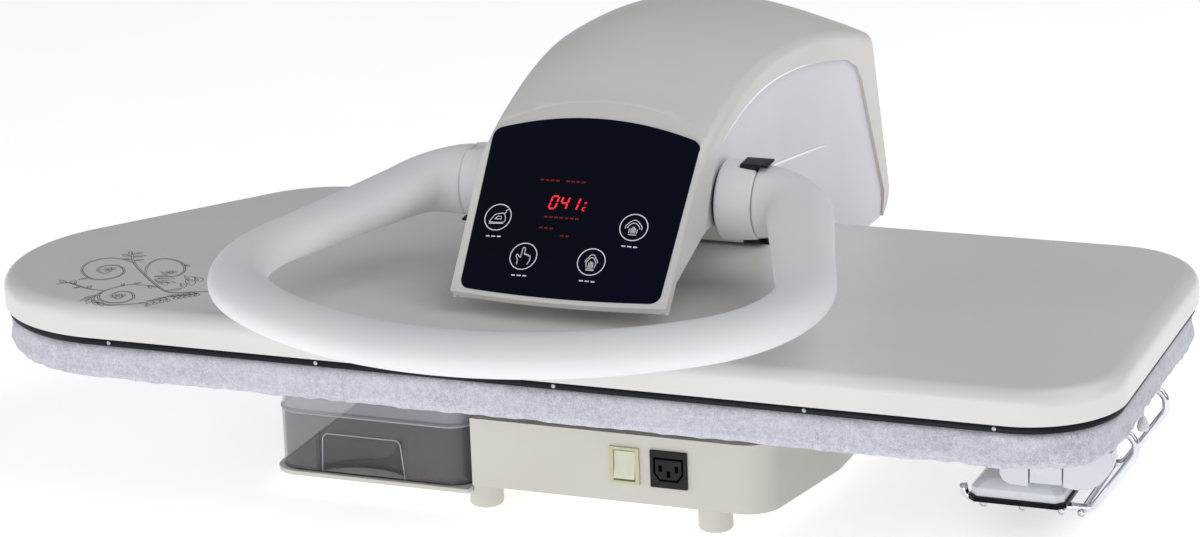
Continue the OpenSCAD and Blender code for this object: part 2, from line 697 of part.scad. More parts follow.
module filler_cap() {
    color(smoke) place() translate([cap_at[0], cap_at[1], rim_z + lid_h - 8]) difference() {
        cylinder(h = 8, r = cap_r, $fn = arc_n);
        translate([0, 0, 2]) cylinder(h = 10, r = cap_r - 3, $fn = arc_n);
    }
    color(smoke) place() translate([cap_at[0], cap_at[1], rim_z + lid_h - 6]) block(-20, 20, -2, 2, 0, 5);
    color(smoke) place() translate([cap_at[0], cap_at[1], rim_z + lid_h]) difference() {
        cylinder(h = 1.5, r = cap_r + 4, $fn = arc_n);
        translate([0, 0, -1]) cylinder(h = 5, r = cap_r - 3, $fn = arc_n);
    }
}
valve_r = 7;
module tank_valve() {
    color(soft_black) place() translate([dock_x, 0, dock_z]) difference() {
        union() {
            along_y(valve_r, base_front + tank_d - 12, base_front + tank_d + 0.6);
            along_y(valve_r + 3, base_front + tank_d - tank_wall - 3, base_front + tank_d - tank_wall);
        }
        along_y(2.5, base_front + tank_d - 14, base_front + tank_d + 2);
    }
}

// Head

head_front_y = panel_y - 14;
// Depth positions of the head's cross sections
sections = [head_front_y - 6, -100, -60, -34, -11, 10, 34, 60, 90, 124, 160, 198, 236, 270, 300, 326, 350, 374, 398];
module head_loft(inset) {
    corner_n = 3;
    crown_n = 5;
    function half_section(y) = let (w = head_half(y) - inset, f = shoulder_fillet - inset / 2, rise = crown_h(y) - crease_z(y),
            rc = (pow(head_half(y), 2) + rise * rise) / (2 * rise) - inset, cz = crown_h(y) - inset - rc, s = asin((w - f) / (rc - f)))
        concat([[w, 90]], [for (k = [0 : corner_n]) let (a = k * (90 - s) / corner_n)
                [w - f + f * cos(a), cz + (rc - f) * cos(s) + f * sin(a)]],
            [for (k = [1 : crown_n]) let (a = s * (1 - k / crown_n)) [rc * sin(a), cz + rc * cos(a)]]);
    function section(y) = let (h = half_section(y), n = len(h))
        concat([for (p = h) [p[0], y, p[1]]], [for (k = [n - 2 : -1 : 0]) [-h[k][0], y, h[k][1]]]);
    skin([for (i = [len(sections) - 1 : -1 : 0]) section(sections[i])]);
}
// Upright slab between two depths inside the head's side wall
module side_slab(d0, d1) {
    translate([0, 0, 60]) linear_extrude(330) polygon(concat([for (y = sections) [head_half(y) - d0, y]],
        [for (i = [len(sections) - 1 : -1 : 0]) [head_half(sections[i]) - d1, sections[i]]]));
}
module inside_walls(d, z0, z1) {
    translate([0, 0, z0]) linear_extrude(z1 - z0) polygon(concat([for (y = sections) [head_half(y) - d, y]],
        [for (i = [len(sections) - 1 : -1 : 0]) [d - head_half(sections[i]), sections[i]]]));
}
// Everything in front of a plane parallel to the control panel, depth d behind the glass face
module panel_frame() { translate([0, panel_y, panel_z]) rotate([90 - panel_lean, 0, 0]) children(); }
module ahead_of_panel(d) { panel_frame() translate([-200, -200, -d]) cube([400, 600, 300]); }
// Side view of the whole head, with its round lower back corner
module head_side() {
    back = back_foot_z;
    polygon(concat([[head_front_y - 16, chin[1]], chin, [belly_y[0], belly_z[0]], [belly_y[1], belly_z[1]],
            [neck_y - 12, belly_z[1]], [neck_y, belly_low], [skirt_y, belly_low],
            [skirt_y + 8, skirt_z], [back_y(skirt_z) - 48, skirt_z]],
        [for (a = [-60 : 20 : 0]) [back_y(back) - 30 + 30 * cos(a), back + 8 + 30 * sin(a)]],
        [[head_back, crease_z(head_back)], [head_back + 1, crown_z + 20], [head_front_y - 6, crown_z + 20]]));
}
chin = [panel_y + 1, panel_z - 8.5];
belly_y = [-103, -42];
belly_z = [191, 214];
belly_low = cover_top + 3;
skirt_y = 212;
skirt_z = 113;
// Side view of the recess that a side panel fills
module window_side(grow) {
    offset(delta = grow) polygon(concat(
        [for (y = [-8, 20, 50, 90, 140, 190, 240, 290]) [y, crease_z(y) - 18 - 6 * max(0, y) / 290]],
        [[310, crease_z(310) - 30], [320, crease_z(320) - 42], [back_y(back_foot_z) - 10, back_foot_z + 6],
            [back_y(back_foot_z) - 30, 20], [-90, 20], [-34, belly_z[1] + 12]]));
}
module head_form() {
    intersection() {
        difference() {
            head_loft(0);
            ahead_of_panel(bezel_t);
        }
        side_plate(-160, 160) head_side();
    }
}
module head_shell() {
    color(cream) on_head() difference() {
        head_form();
        intersection() {
            head_loft(head_wall);
            side_plate(-160, 160) polygon([[head_front_y - 40, 60], [back_y(60) - head_wall, 60],
                [head_back - head_wall, crease_z(head_back)], [head_back - head_wall, crown_z + 20], [head_front_y - 40, crown_z + 20]]);
        }
        side_plate(-160, 160) window_side(0);
        translate([0, handle_y, handle_z]) along_x(socket_r - 4, -160, 160);
    }
}
// The panel's inner layer laps behind the shell; above the relief line its face is stepped back
lap = 4;
module side_panel() {
    difference() {
        union() {
            intersection() {
                side_slab(panel_step, head_wall + 0.5);
                side_plate(20, 160) intersection() {
                    window_side(-panel_gap);
                    relief_side();
                    head_side();
                }
            }
            intersection() {
                side_slab(panel_step + 0.8, head_wall + 0.5);
                side_plate(20, 160) intersection() {
                    window_side(-panel_gap);
                    head_side();
                }
            }
            intersection() {
                side_slab(head_wall, head_wall + 2.4);
                side_plate(20, 160) intersection() {
                    window_side(lap);
                    head_side();
                }
            }
        }
        translate([0, handle_y, handle_z]) along_x(handle_shaft_r + 4, 0, 160);
        ahead_of_panel(bezel_t + 0.01);
    }
}
// Side view of the part of the panel that stands proud, below the line from the handle to the hinge
module relief_side() {
    polygon([[-100, 20], [-100, 330], [socket_edge, 330], [socket_edge, handle_z + 4], [hinge_y - 40, 215], [hinge_y - 4, 203],
        [hinge_y + 34, 182], [hinge_y + 57, 159], [hinge_y + 80, 130], [hinge_y + 80, 20]]);
}
socket_edge = handle_y + socket_r + 20;
module left_side_panel() { color(pale_grey) on_head() mirror([1, 0, 0]) side_panel(); }
module right_side_panel() { color(pale_grey) on_head() side_panel(); }

belly_t = 2.5;
module head_belly() {
    color(cream) on_head() {
        intersection() {
            inside_walls(head_wall + 2.4, 60, 390);
            difference() {
                side_plate(-120, 120) polygon([chin + [0, 5], [belly_y[0] - 1, belly_z[0] + belly_t], [belly_y[1], belly_z[1] + belly_t],
                    [neck_y - 10, belly_z[1] + belly_t], [neck_y + 2, belly_low + belly_t], [skirt_y - 4, belly_low + belly_t],
                    [skirt_y - 4, belly_low], [neck_y, belly_low], [neck_y - 12, belly_z[1]], [belly_y[1], belly_z[1]],
                    [belly_y[0], belly_z[0]], chin]);
                ahead_of_panel(bezel_t);
                for (p = standoff_spots) translate([p[0], p[1], cover_top]) cylinder(h = 20, r = standoff_r + 3, $fn = arc_n);
                translate([0, hose_y, cover_top]) cylinder(h = 20, r = hose_r + 3, $fn = arc_n);
            }
        }
        for (x = [-30, 30], y = [neck_y + 13, skirt_y - 17]) translate([x, y, belly_low]) cylinder(h = arm_low - belly_low, r = 6, $fn = arc_n);
    }
}

// Control panel, drawn in its own plane: x across, y up the slope, z out of the face
module glass_outline(grow) {
    n = 12;
    top = [for (i = [0 : n]) let (u = 1 - 2 * i / n) [u * (glass_w + glass_flare), glass_h + glass_crown * (1 - u * u)]];
    bottom = [for (i = [0 : n]) let (u = -1 + 2 * i / n) [u * glass_w, -5 * (1 - u * u)]];
    offset(r = glass_r + grow) offset(delta = -glass_r) polygon(concat(top, bottom));
}
face_bow = 900;
module bowed_face(h, back, top) {
    intersection() {
        translate([0, 0, -back]) linear_extrude(back + 20) children();
        translate([0, -60, h - face_bow]) rotate([-90, 0, 0]) cylinder(h = top + 60, r = face_bow, $fn = 360);
    }
}
module control_bezel() {
    color(cream) on_head() difference() {
        intersection() {
            head_loft(0);
            side_plate(-160, 160) head_side();
            panel_frame() bowed_face(7.5, bezel_t, 200) intersection() {
                glass_outline(bezel_w + 2);
                above_lip();
            }
        }
        panel_frame() translate([0, 0, -glass_t]) linear_extrude(60) glass_outline(seat_gap);
        panel_frame() translate([0, 0, -60]) linear_extrude(80) glass_outline(-7);
    }
}
// Everything above a curve that runs parallel to the glass's lower edge
lip_w = 4.5;
module above_lip() {
    polygon(concat([for (i = [-9 : 9]) let (u = i / 7) [u * glass_w, -5 * (1 - u * u) - lip_w]], [[130, 220], [-130, 220]]));
}
module control_glass() {
    color([0.02, 0.025, 0.06]) on_head() panel_frame() bowed_face(6, glass_t, 200) glass_outline(0);
}
module display_board() {
    color([0.10, 0.32, 0.18]) on_head() panel_frame() {
        block(-90, 90, 42, 126, -13, -11.4);
        block(-30, 6, 70, 92, -11.4, -6);
        for (p = [[-68, 64], [-37, 50], [23, 50], [52, 64]]) translate([p[0], p[1], -11.4]) cylinder(h = 6.4, r = 6, $fn = arc_n);
        for (x = [-87, 87], y = [48, 120]) translate([x, y, -11.4]) cylinder(h = 11.4 - bezel_t, r = 2.4, $fn = arc_n);
    }
}

// Arm frame: two steel arms, tied across, that carry the cover in front and turn on the hinge shaft
standoff_spots = [[-48, neck_y + 17], [48, neck_y + 17], [-48, neck_y + 60], [48, neck_y + 60]];
standoff_r = 7;
arm_low = cover_top + 7;
module arm_profile() {
    translate([hinge_y, hinge_z]) circle(r = 24, $fn = arc_n);
    translate([handle_y, handle_z]) circle(r = 12.5, $fn = arc_n);
    polygon([[hinge_y, hinge_z - 24], [skirt_y + 10, arm_low], [neck_y + 4, arm_low], [neck_y - 6, handle_z - 11],
        [handle_y, handle_z - 11], [handle_y, handle_z + 12], [hinge_y - 60, handle_z + 2], [hinge_y + 10, hinge_z + 22],
        [hinge_y, hinge_z]]);
    polygon([[hinge_y, hinge_z - 16], [tail[0] + 8, tail[1] - 9], [tail[0] + 8, tail[1] + 9], [hinge_y, hinge_z + 22]]);
}
module arm_frame() {
    color(steel) on_head() difference() {
        union() {
            both_sides() side_plate(arm_x, arm_x + arm_t) arm_profile();
            block(-arm_x, arm_x, neck_y + 4, skirt_y - 6, arm_low, arm_low + 4);
            block(-arm_x, arm_x, neck_y + 4, neck_y + 8, arm_low + 3.9, arm_low + 18);
            both_sides() translate([0, tail[0], tail[1]]) along_x(3, arm_x + arm_t, spring_x + spring_r + 3);
        }
        translate([0, hinge_y, hinge_z]) along_x(bush_r, -arm_x - 20, arm_x + 20);
        translate([0, handle_y, handle_z]) along_x(handle_shaft_r + run_fit, -arm_x - 20, arm_x + 20);
        for (p = standoff_spots) translate([p[0], p[1], arm_low - 1]) cylinder(h = 10, r = 3.2, $fn = arc_n);
        translate([0, hose_y, arm_low - 1]) cylinder(h = 10, r = hose_r + 3, $fn = arc_n);
    }
}
bush_r = shaft_r + 3;
module arm_bushes() {
    color([0.93, 0.93, 0.90]) on_head() translate([0, hinge_y, hinge_z]) both_sides() difference() {
        union() {
            along_x(bush_r - 0.02, arm_x - 3, arm_x + arm_t + 3);
            along_x(bush_r + 4, arm_x - 3, arm_x);
        }
        along_x(shaft_r + run_fit, arm_x - 5, arm_x + arm_t + 10);
    }
}
// Rubber disc between side panel and grip socket
module socket_gaskets() {
    color(soft_black) on_head() both_sides() intersection() {
        translate([0, handle_y, handle_z]) difference() {
            along_x(socket_r - 6, 80, head_w + 0.4);
            along_x(handle_shaft_r + 1, 60, 140);
        }
        side_slab(-5, panel_step);
    }
}

// Upper cover and what it holds

hose_y = 125;
flange_r = 10;
module upper_cover() {
    e = cover_edge_r;
    w = cover_wall;
    edge = [for (a = [0 : 15 : 90]) board_ring(-e * (1 - cos(a)), cover_top - e + e * sin(a))];
    color(cream) place() difference() {
        skin(concat([board_ring(-w - e + 6, cover_top - w), board_ring(-w, cover_top - e - 1), board_ring(-w, cover_z),
            board_ring(0, cover_z)], edge));
        for (p = standoff_spots) translate([p[0] + head_x, p[1], cover_z]) cylinder(h = 40, r = standoff_r + seat_gap, $fn = arc_n);
        translate([head_x, hose_y, cover_z]) cylinder(h = 40, r = hose_r + free_gap, $fn = arc_n);
    }
}
module rim_band() {
    color(soft_black) place() difference() {
        board_slab(-rim_inset, plate_z, cover_z);
        board_slab(-rim_inset - rim_w, plate_z - 1, cover_z + 1);
    }
}
screw_x = [cover_left + 155, -149, 60, 269, cover_right - 85];
module rim_screws() {
    color([0.85, 0.85, 0.86]) place() for (x = screw_x)
        translate([x, rim_inset - cover_d / 2, (plate_z + cover_z) / 2]) along_y(1.8, -1.2, 0);
}
in_cover = rim_inset + rim_w + seat_gap;
module insulation_blanket() {
    color([0.90, 0.88, 0.70]) place() difference() {
        board_slab(-in_cover - 10, cover_top - cover_wall - 9, cover_top - cover_wall);
        for (p = standoff_spots) translate([p[0] + head_x, p[1], cover_z]) cylinder(h = 40, r = flange_r + 1, $fn = arc_n);
        translate([head_x, hose_y, cover_z]) cylinder(h = 40, r = hose_r + 3, $fn = arc_n);
    }
}
element_r = 4;
module heating_element() {
    bend = cover_d / 4;
    left = cover_left + 235;
    right = cover_right - bend - 24;
    path = concat([for (a = [170 : -16 : 90]) [left + bend * cos(a), bend * sin(a), 0]],
        [for (a = [90 : -15 : -90]) [right + bend * cos(a), bend * sin(a), 0]],
        [for (a = [-90 : -16 : -170]) [left + bend * cos(a), bend * sin(a), 0]]);
    color([0.45, 0.42, 0.40]) place() translate([0, 0, plate_top + element_r]) wire(path, element_r, [0, 0, 1]);
}
module thermostat() {
    color([0.93, 0.92, 0.88]) place() translate([-60, 20, plate_top]) {
        cylinder(h = 9, r = 12, $fn = arc_n);
        block(-4, 4, -20, 20, 0, 2);
    }
}
module steam_chamber() {
    color([0.75, 0.76, 0.78]) place() translate([head_x, hose_y, plate_top]) {
        block(-40, 40, -18, 34, 0, 10);
        cylinder(h = 14, r = hose_r, $fn = arc_n);
    }
}
module plate_hose() {
    z = plate_top + 14;
    color([0.82, 0.83, 0.84]) on_head() wire(soft_corners([[0, hose_y, z], [0, hose_y, arm_low + 24],
        [0, hose_y + 34, arm_low + 44], [0, hinge_y - tower_r - 14, arm_low + 44]], 9), hose_r, [1, 0, 0], 12);
}
module press_plate() {
    color([0.78, 0.79, 0.80]) place() difference() {
        board_slab(-in_cover, plate_z, plate_top);
        for (x = [-3 : 3], y = [-1 : 1]) translate([head_x + x * steam_pitch, y * steam_pitch, plate_z - 1])
            cylinder(h = plate_t + 2, d = steam_hole_d, $fn = 16);
    }
}
module plate_standoffs() {
    color(steel) on_head() for (p = standoff_spots) translate([p[0], p[1], 0]) {
        translate([0, 0, plate_top]) cylinder(h = arm_low - plate_top, r = standoff_r, $fn = arc_n);
        translate([0, 0, cover_top - cover_wall - 2]) cylinder(h = 2, r = flange_r, $fn = arc_n);
        translate([0, 0, arm_low - 0.5]) cylinder(h = 8, r = 3, $fn = arc_n);
        translate([0, 0, arm_low + 4]) cylinder(h = 4, r = 6, $fn = 6);
    }
}

// Handle

// Half of the path as points with headings, from the head to the middle of the front
half_path = concat(
    [for (k = [0 : 5]) let (a = bend1_a * k / 5) concat(turn_right(path_a, 0, bend1_r, a), -a)],
    [concat((path_b + path_c) / 2, -bend1_a)],
    [for (k = [0 : 6]) let (a = bend2_a * k / 6) concat(turn_right(path_c, -bend1_a, bend2_r, a), -bend1_a - a)],
    [for (k = [1 : 4]) let (a = last_a * k / 4) concat(turn_right(path_d, -bend1_a - bend2_a, bend3_r, a), -bend1_a - bend2_a - a)]);
whole_path = concat(half_path, [for (k = [len(half_path) - 2 : -1 : 0]) [-half_path[k][0], half_path[k][1], -360 - half_path[k][2]]]);
grip_sides = 14;
function grip_ring(p, w, h) = [for (k = [0 : grip_sides - 1]) let (a = k * 360 / grip_sides)
    [p[0] - w / 2 * cos(a) * sin(p[2]), p[1] + w / 2 * cos(a) * cos(p[2]), h / 2 * sin(a)]];

module handle_frame() { on_head() translate([0, handle_y, handle_z]) rotate([handle_slope, 0, 0]) children(); }
module foam_grip() {
    n = len(whole_path);
    bore = 2 * tube_r + 2 * seat_gap;
    last = len(half_path) - 1;
    function part(i) = let (k = min(i, 2 * last - i)) k < 6 ? k / 5 : k == 6 ? 1.6 : 2;
    function from_round(i, at_bend, slim) = part(i) < 1 ? 63 + (at_bend - 63) * part(i) : at_bend + (slim - at_bend) * (part(i) - 1);
    color(pale_grey) handle_frame() skin(concat(
        [for (i = [0 : n - 1]) grip_ring(whole_path[i], from_round(i, 56, grip_w), from_round(i, 44, grip_h))],
        [for (k = [n - 1 : -1 : 0]) grip_ring(whole_path[k], bore, bore)]), true);
}
module handle_tube() {
    color(steel) handle_frame() skin([for (p = concat([[socket_in + 8, 0, 0]], whole_path, [[-socket_in - 8, 0, -360]]))
        grip_ring(p, 2 * tube_r, 2 * tube_r)]);
}
socket_in = head_w + 0.6;
socket_out = grip_from - 0.4;
module grip_sockets() {
    color(pale_grey) handle_frame() both_sides() difference() {
        rotate([0, 90, 0]) rotate_extrude($fn = 2 * arc_n) polygon([[0, socket_in], [socket_r - 1.5, socket_in], [socket_r, socket_in + 2],
            [socket_r - 0.3, socket_in + 12], [socket_r - 1.5, socket_in + 25], [socket_r - 2, socket_out - 1], [socket_r - 3, socket_out],
            [0, socket_out]]);
        along_x(tube_r + 0.01, socket_in + 8, grip_from + 1);
        along_x(handle_shaft_r + 0.01, socket_in - 1, socket_in + 9);
        for (s = [0, 1]) mirror([0, 0, s]) block(clip_x - 0.2, clip_x + clip_l + 5, -clip_w / 2 - 0.2, clip_w / 2 + 0.2, clip_z, 60);
    }
}
clip_l = 24;
clip_w = 20;
clip_x = grip_from - 15;
clip_z = 27;
module grip_clips() {
    color(soft_black) handle_frame() both_sides() for (s = [0, 1]) mirror([0, 0, s]) {
        block(clip_x, socket_out, -clip_w / 2, clip_w / 2, clip_z, clip_z + 7.5);
        block(socket_out - 3, clip_x + clip_l, -clip_w / 2, clip_w / 2, clip_z + 5.2, clip_z + 7.5);
    }
}
lever_x = 30;
lever_l = 150;
lever_up = 20;
module handle_shaft() {
    color(steel) handle_frame() {
        along_x(handle_shaft_r, -socket_in - 8, socket_in + 8);
        both_sides() side_plate(lever_x, lever_x + 5) rotate(lever_up) difference() {
            union() {
                circle(r = 12, $fn = arc_n);
                polygon([[0, -12], [lever_l, -8], [lever_l + 10, 0], [lever_l, 8], [0, 12]]);
            }
            circle(r = handle_shaft_r - 0.5, $fn = arc_n);
        }
        rotate([lever_up, 0, 0]) translate([0, lever_l, 0]) along_x(5, -lever_x - 5, lever_x + 5);
    }
}

// Accessory iron, parked heel to the front on a wire rest under the board's right end

iron_x = cover_right - 96;
function sole_ring(inset, back, z) = let (w = iron_w / 2 - inset, f = iron_l * 0.35, n = 8) concat(
    [[-w + 6, back, z], [w - 6, back, z], [w, back + 6, z]],
    [for (k = [0 : n]) let (a = k * 84 / n) [w * cos(a), f + (iron_l - f - inset) * sin(a), z]],
    [for (k = [n : -1 : 0]) let (a = k * 84 / n) [-w * cos(a), f + (iron_l - f - inset) * sin(a), z]], [[-w, back + 6, z]]);
module on_iron() { place() translate([iron_x, heel_y, sole_z]) children(); }
module iron_soleplate() {
    color(soft_black) on_iron() linear_extrude(4) polygon([for (p = sole_ring(0, 0, 0)) [p[0], p[1]]]);
}
module iron_body() {
    color([0.93, 0.93, 0.94]) on_iron() skin([sole_ring(2, 2, 4), sole_ring(2, 2, 11), sole_ring(6, 5, 15), sole_ring(12, 10, 18.2)]);
}
module iron_handle() {
    top = rest_top - wire_d - 1 - sole_z;
    color([0.80, 0.80, 0.82]) on_iron() difference() {
        hull() {
            translate([-4, 26, 18.5]) cylinder(h = top - 18.5, r = 13, $fn = 32);
            translate([22, 26, 18.5]) cylinder(h = top - 18.5, r = 13, $fn = 32);
            translate([4, iron_l * 0.6, 18.5]) cylinder(h = top - 22.5, r = 14, $fn = 32);
        }
        block(-60, 60, 48, 98, 30, 43);
    }
    // Its back end lies across the heel and reaches out to the right, in three parts with joints between them
    color([0.80, 0.80, 0.82]) on_iron() translate([0, 14, 0]) rotate([90, 0, 0]) linear_extrude(16) difference() {
        polygon([[-12, top - 2], [-12, 27], [-9.5, 22], [-4, 19], [12, 18.5], [13, 22], [38, 22], [39, 20.5], [50, 19.5],
            [60, 20.5], [69, 26], [75, 34], [79, 45], [78, top - 2]]);
        for (x = [11, 38]) translate([x, 10]) square([1.4, 60]);
    }
}
rest_top = hem_z - 4.5;
rest_y = [heel_y + 20, heel_y + 126];
module iron_rest() {
    r = wire_d / 2;
    z = sole_z - r;
    out = rest_end - r - 0.7;
    left = iron_x - iron_w / 2 - 8;
    right = rest_end - 33;
    color([0.85, 0.86, 0.88]) place() {
        for (y = rest_y) wire(soft_corners([[left, y, z + 10], [left + 2, y, z], [right - 6, y, z], [right, y, z + 8],
            [out, y, rest_top - 16], [out - 0.5, y, rest_top - 6], [out - 6, y, rest_top],
            [left + 24, y, rest_top]], 2.4), r, [0, 1, 0]);
        for (x = [iron_x - 30, iron_x + 2, iron_x + 34, iron_x + 50]) along_rest(x, z, r);
    }
}
// Lengthwise wires, let half into the cross wires
module along_rest(x, z, r) {
    translate([x, 0, z - 0.76 * r]) along_y(r, rest_y[0] - 6, rest_y[1] + 6);
}
module rest_clips() {
    r = wire_d / 2;
    color(soft_black) place() for (y = rest_y, x = [iron_x - 10, iron_x + 40]) translate([x, y, 0]) difference() {
        block(-6, 6, -7, 7, rest_top - wire_d, tray_z);
        translate([0, 0, rest_top]) along_x(r + 0.02, -8, 8);
    }
}

base_housing();
base_plate();
tank_ledge();
feet();
base_screws();
switch_frame();
iron_outlet();
mains_inlet();
pump();
pump_rings();
feed_hose();
riser_hose();
dock_valve();
power_board();
hinge_tower();
tower_cover();
hinge_shaft();
shaft_rings();
balance_springs();
board_brackets();
board_tray();
board_pad();
board_fabric();
drawcord_toggle();
iron_rest();
rest_clips();
water_tank();
tank_lid();
filler_cap();
tank_valve();
power_rocker();
head_shell();
left_side_panel();
right_side_panel();
head_belly();
control_bezel();
control_glass();
display_board();
arm_frame();
arm_bushes();
socket_gaskets();
upper_cover();
rim_band();
rim_screws();
insulation_blanket();
heating_element();
thermostat();
steam_chamber();
plate_hose();
press_plate();
plate_standoffs();
handle_shaft();
handle_tube();
foam_grip();
grip_sockets();
grip_clips();
iron_soleplate();
iron_body();
iron_handle();
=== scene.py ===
# %% [markdown]
# # A table-top steam ironing press
# This lesson dresses a finished construction. The frame brings every solid to its true place and size, in metres,
# so nothing here is fitted by eye. What is left to do is the look: rounded moulding edges, foam, cloth, smoked
# plastic, black glass with its printed signs, and the light of a small photo studio.

# %% Load the frame
import json
import math

import bmesh
import bpy
from mathutils import Matrix, Vector, noise as lumps
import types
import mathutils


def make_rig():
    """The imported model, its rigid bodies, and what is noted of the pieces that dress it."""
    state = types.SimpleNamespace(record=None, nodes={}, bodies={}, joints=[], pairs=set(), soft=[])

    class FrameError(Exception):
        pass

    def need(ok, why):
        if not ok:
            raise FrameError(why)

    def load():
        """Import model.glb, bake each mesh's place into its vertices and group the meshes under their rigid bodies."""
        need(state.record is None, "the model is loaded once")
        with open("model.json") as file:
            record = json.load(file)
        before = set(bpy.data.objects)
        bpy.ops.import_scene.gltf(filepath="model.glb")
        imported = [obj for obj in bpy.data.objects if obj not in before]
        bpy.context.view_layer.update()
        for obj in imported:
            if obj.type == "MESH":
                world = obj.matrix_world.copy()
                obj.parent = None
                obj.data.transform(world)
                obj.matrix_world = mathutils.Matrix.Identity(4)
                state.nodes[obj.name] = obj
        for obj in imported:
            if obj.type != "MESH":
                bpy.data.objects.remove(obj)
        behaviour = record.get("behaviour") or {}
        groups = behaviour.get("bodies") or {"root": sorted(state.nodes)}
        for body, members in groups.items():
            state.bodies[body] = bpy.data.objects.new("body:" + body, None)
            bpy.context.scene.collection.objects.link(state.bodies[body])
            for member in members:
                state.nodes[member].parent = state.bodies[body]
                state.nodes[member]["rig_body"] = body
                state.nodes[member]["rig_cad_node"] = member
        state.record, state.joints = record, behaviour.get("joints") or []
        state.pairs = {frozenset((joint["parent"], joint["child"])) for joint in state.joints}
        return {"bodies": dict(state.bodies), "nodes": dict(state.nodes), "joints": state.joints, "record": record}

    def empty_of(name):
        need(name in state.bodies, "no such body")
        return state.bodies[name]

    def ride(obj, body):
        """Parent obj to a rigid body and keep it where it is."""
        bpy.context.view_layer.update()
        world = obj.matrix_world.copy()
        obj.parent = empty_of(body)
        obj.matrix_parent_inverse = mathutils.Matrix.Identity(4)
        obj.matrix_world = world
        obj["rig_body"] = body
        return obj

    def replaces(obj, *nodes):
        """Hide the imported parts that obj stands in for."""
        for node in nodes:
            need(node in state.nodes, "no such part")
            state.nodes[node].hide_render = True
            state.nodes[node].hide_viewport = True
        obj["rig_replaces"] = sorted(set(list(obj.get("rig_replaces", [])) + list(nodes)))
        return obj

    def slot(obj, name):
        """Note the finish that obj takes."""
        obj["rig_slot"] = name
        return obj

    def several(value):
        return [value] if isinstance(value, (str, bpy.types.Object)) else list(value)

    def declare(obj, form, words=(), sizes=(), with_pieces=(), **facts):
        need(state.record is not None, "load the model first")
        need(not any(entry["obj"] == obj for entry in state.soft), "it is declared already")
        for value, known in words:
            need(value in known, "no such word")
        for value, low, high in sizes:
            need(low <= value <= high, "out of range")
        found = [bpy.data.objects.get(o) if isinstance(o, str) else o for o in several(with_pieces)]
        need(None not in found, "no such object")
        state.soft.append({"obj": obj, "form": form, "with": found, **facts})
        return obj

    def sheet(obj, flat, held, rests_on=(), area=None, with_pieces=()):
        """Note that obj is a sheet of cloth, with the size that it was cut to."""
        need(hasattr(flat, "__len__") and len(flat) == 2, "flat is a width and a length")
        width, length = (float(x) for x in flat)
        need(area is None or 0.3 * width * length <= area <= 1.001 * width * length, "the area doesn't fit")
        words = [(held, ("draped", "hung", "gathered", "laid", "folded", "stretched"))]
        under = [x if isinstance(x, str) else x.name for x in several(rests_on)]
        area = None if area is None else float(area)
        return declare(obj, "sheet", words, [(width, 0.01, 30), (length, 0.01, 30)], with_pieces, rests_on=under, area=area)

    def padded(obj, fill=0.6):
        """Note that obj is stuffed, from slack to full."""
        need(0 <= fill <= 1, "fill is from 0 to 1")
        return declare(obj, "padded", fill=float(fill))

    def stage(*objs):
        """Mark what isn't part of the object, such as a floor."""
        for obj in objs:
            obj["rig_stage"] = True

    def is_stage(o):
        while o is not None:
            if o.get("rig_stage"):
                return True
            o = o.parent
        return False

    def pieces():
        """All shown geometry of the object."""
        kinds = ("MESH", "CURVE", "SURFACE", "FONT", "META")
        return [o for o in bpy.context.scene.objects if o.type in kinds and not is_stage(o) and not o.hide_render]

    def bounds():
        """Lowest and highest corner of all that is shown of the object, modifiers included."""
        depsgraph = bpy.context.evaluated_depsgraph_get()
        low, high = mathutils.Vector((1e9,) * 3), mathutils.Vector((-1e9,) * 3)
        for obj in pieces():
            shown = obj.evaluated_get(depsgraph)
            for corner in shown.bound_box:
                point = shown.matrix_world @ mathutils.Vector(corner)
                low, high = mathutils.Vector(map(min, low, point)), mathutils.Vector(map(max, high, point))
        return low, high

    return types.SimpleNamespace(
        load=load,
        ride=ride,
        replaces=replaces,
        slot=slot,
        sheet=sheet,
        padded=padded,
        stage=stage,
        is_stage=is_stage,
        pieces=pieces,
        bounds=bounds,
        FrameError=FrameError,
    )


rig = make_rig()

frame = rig.load()
cad_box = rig.bounds()
nodes = frame["nodes"]
print("bodies:", sorted(frame["bodies"]))

# %% [markdown]
# The drawing of the press is measured from the middle of its upper cover, in millimetres. The frame stands over the
# middle of the whole box instead. Two small functions turn a drawn point into a point of the frame. The others are
# for lines in plan, which many pieces need.

# %% From drawing to frame
MID_X, MID_Y, HEAD_X = 5.0, -5.1425, 36.0


def row(x, y, z):
    return Vector(((x - MID_X) / 1000, (y - MID_Y) / 1000, z / 1000))


def on_head(x, y, z):
    return row(x + HEAD_X, y, z)


def tilted(x, y, z, tilt, along, up):
    """A point of the head, measured along and up from another in a frame that tilts back."""
    c, s = math.cos(tilt), math.sin(tilt)
    return on_head(x, y + along * c - up * s, z + along * s + up * c)


def arc(x, y, radius, angles):
    """Points of a circle, at angles in degrees."""
    return [(x + radius * math.cos(math.radians(a)), y + radius * math.sin(math.radians(a))) for a in angles]


def ring_line(x, y, radius, count=48):
    return arc(x, y, radius, [360 * k / count for k in range(count)])


def mirrored(line):
    return line + [(-x, y) for x, y in line[-2::-1]]


def around(line):
    """The neighbours of a closed line, two by two."""
    return zip(line, line[1:] + line[:1])


def share(value, low, high):
    """How far a value lies between two limits, from 0 to 1."""
    return min(1.0, max(0.0, (value - low) / (high - low)))


# %% [markdown]
# The camera repeats the studio view. Three unit vectors, found from edges of known size, give its turn.

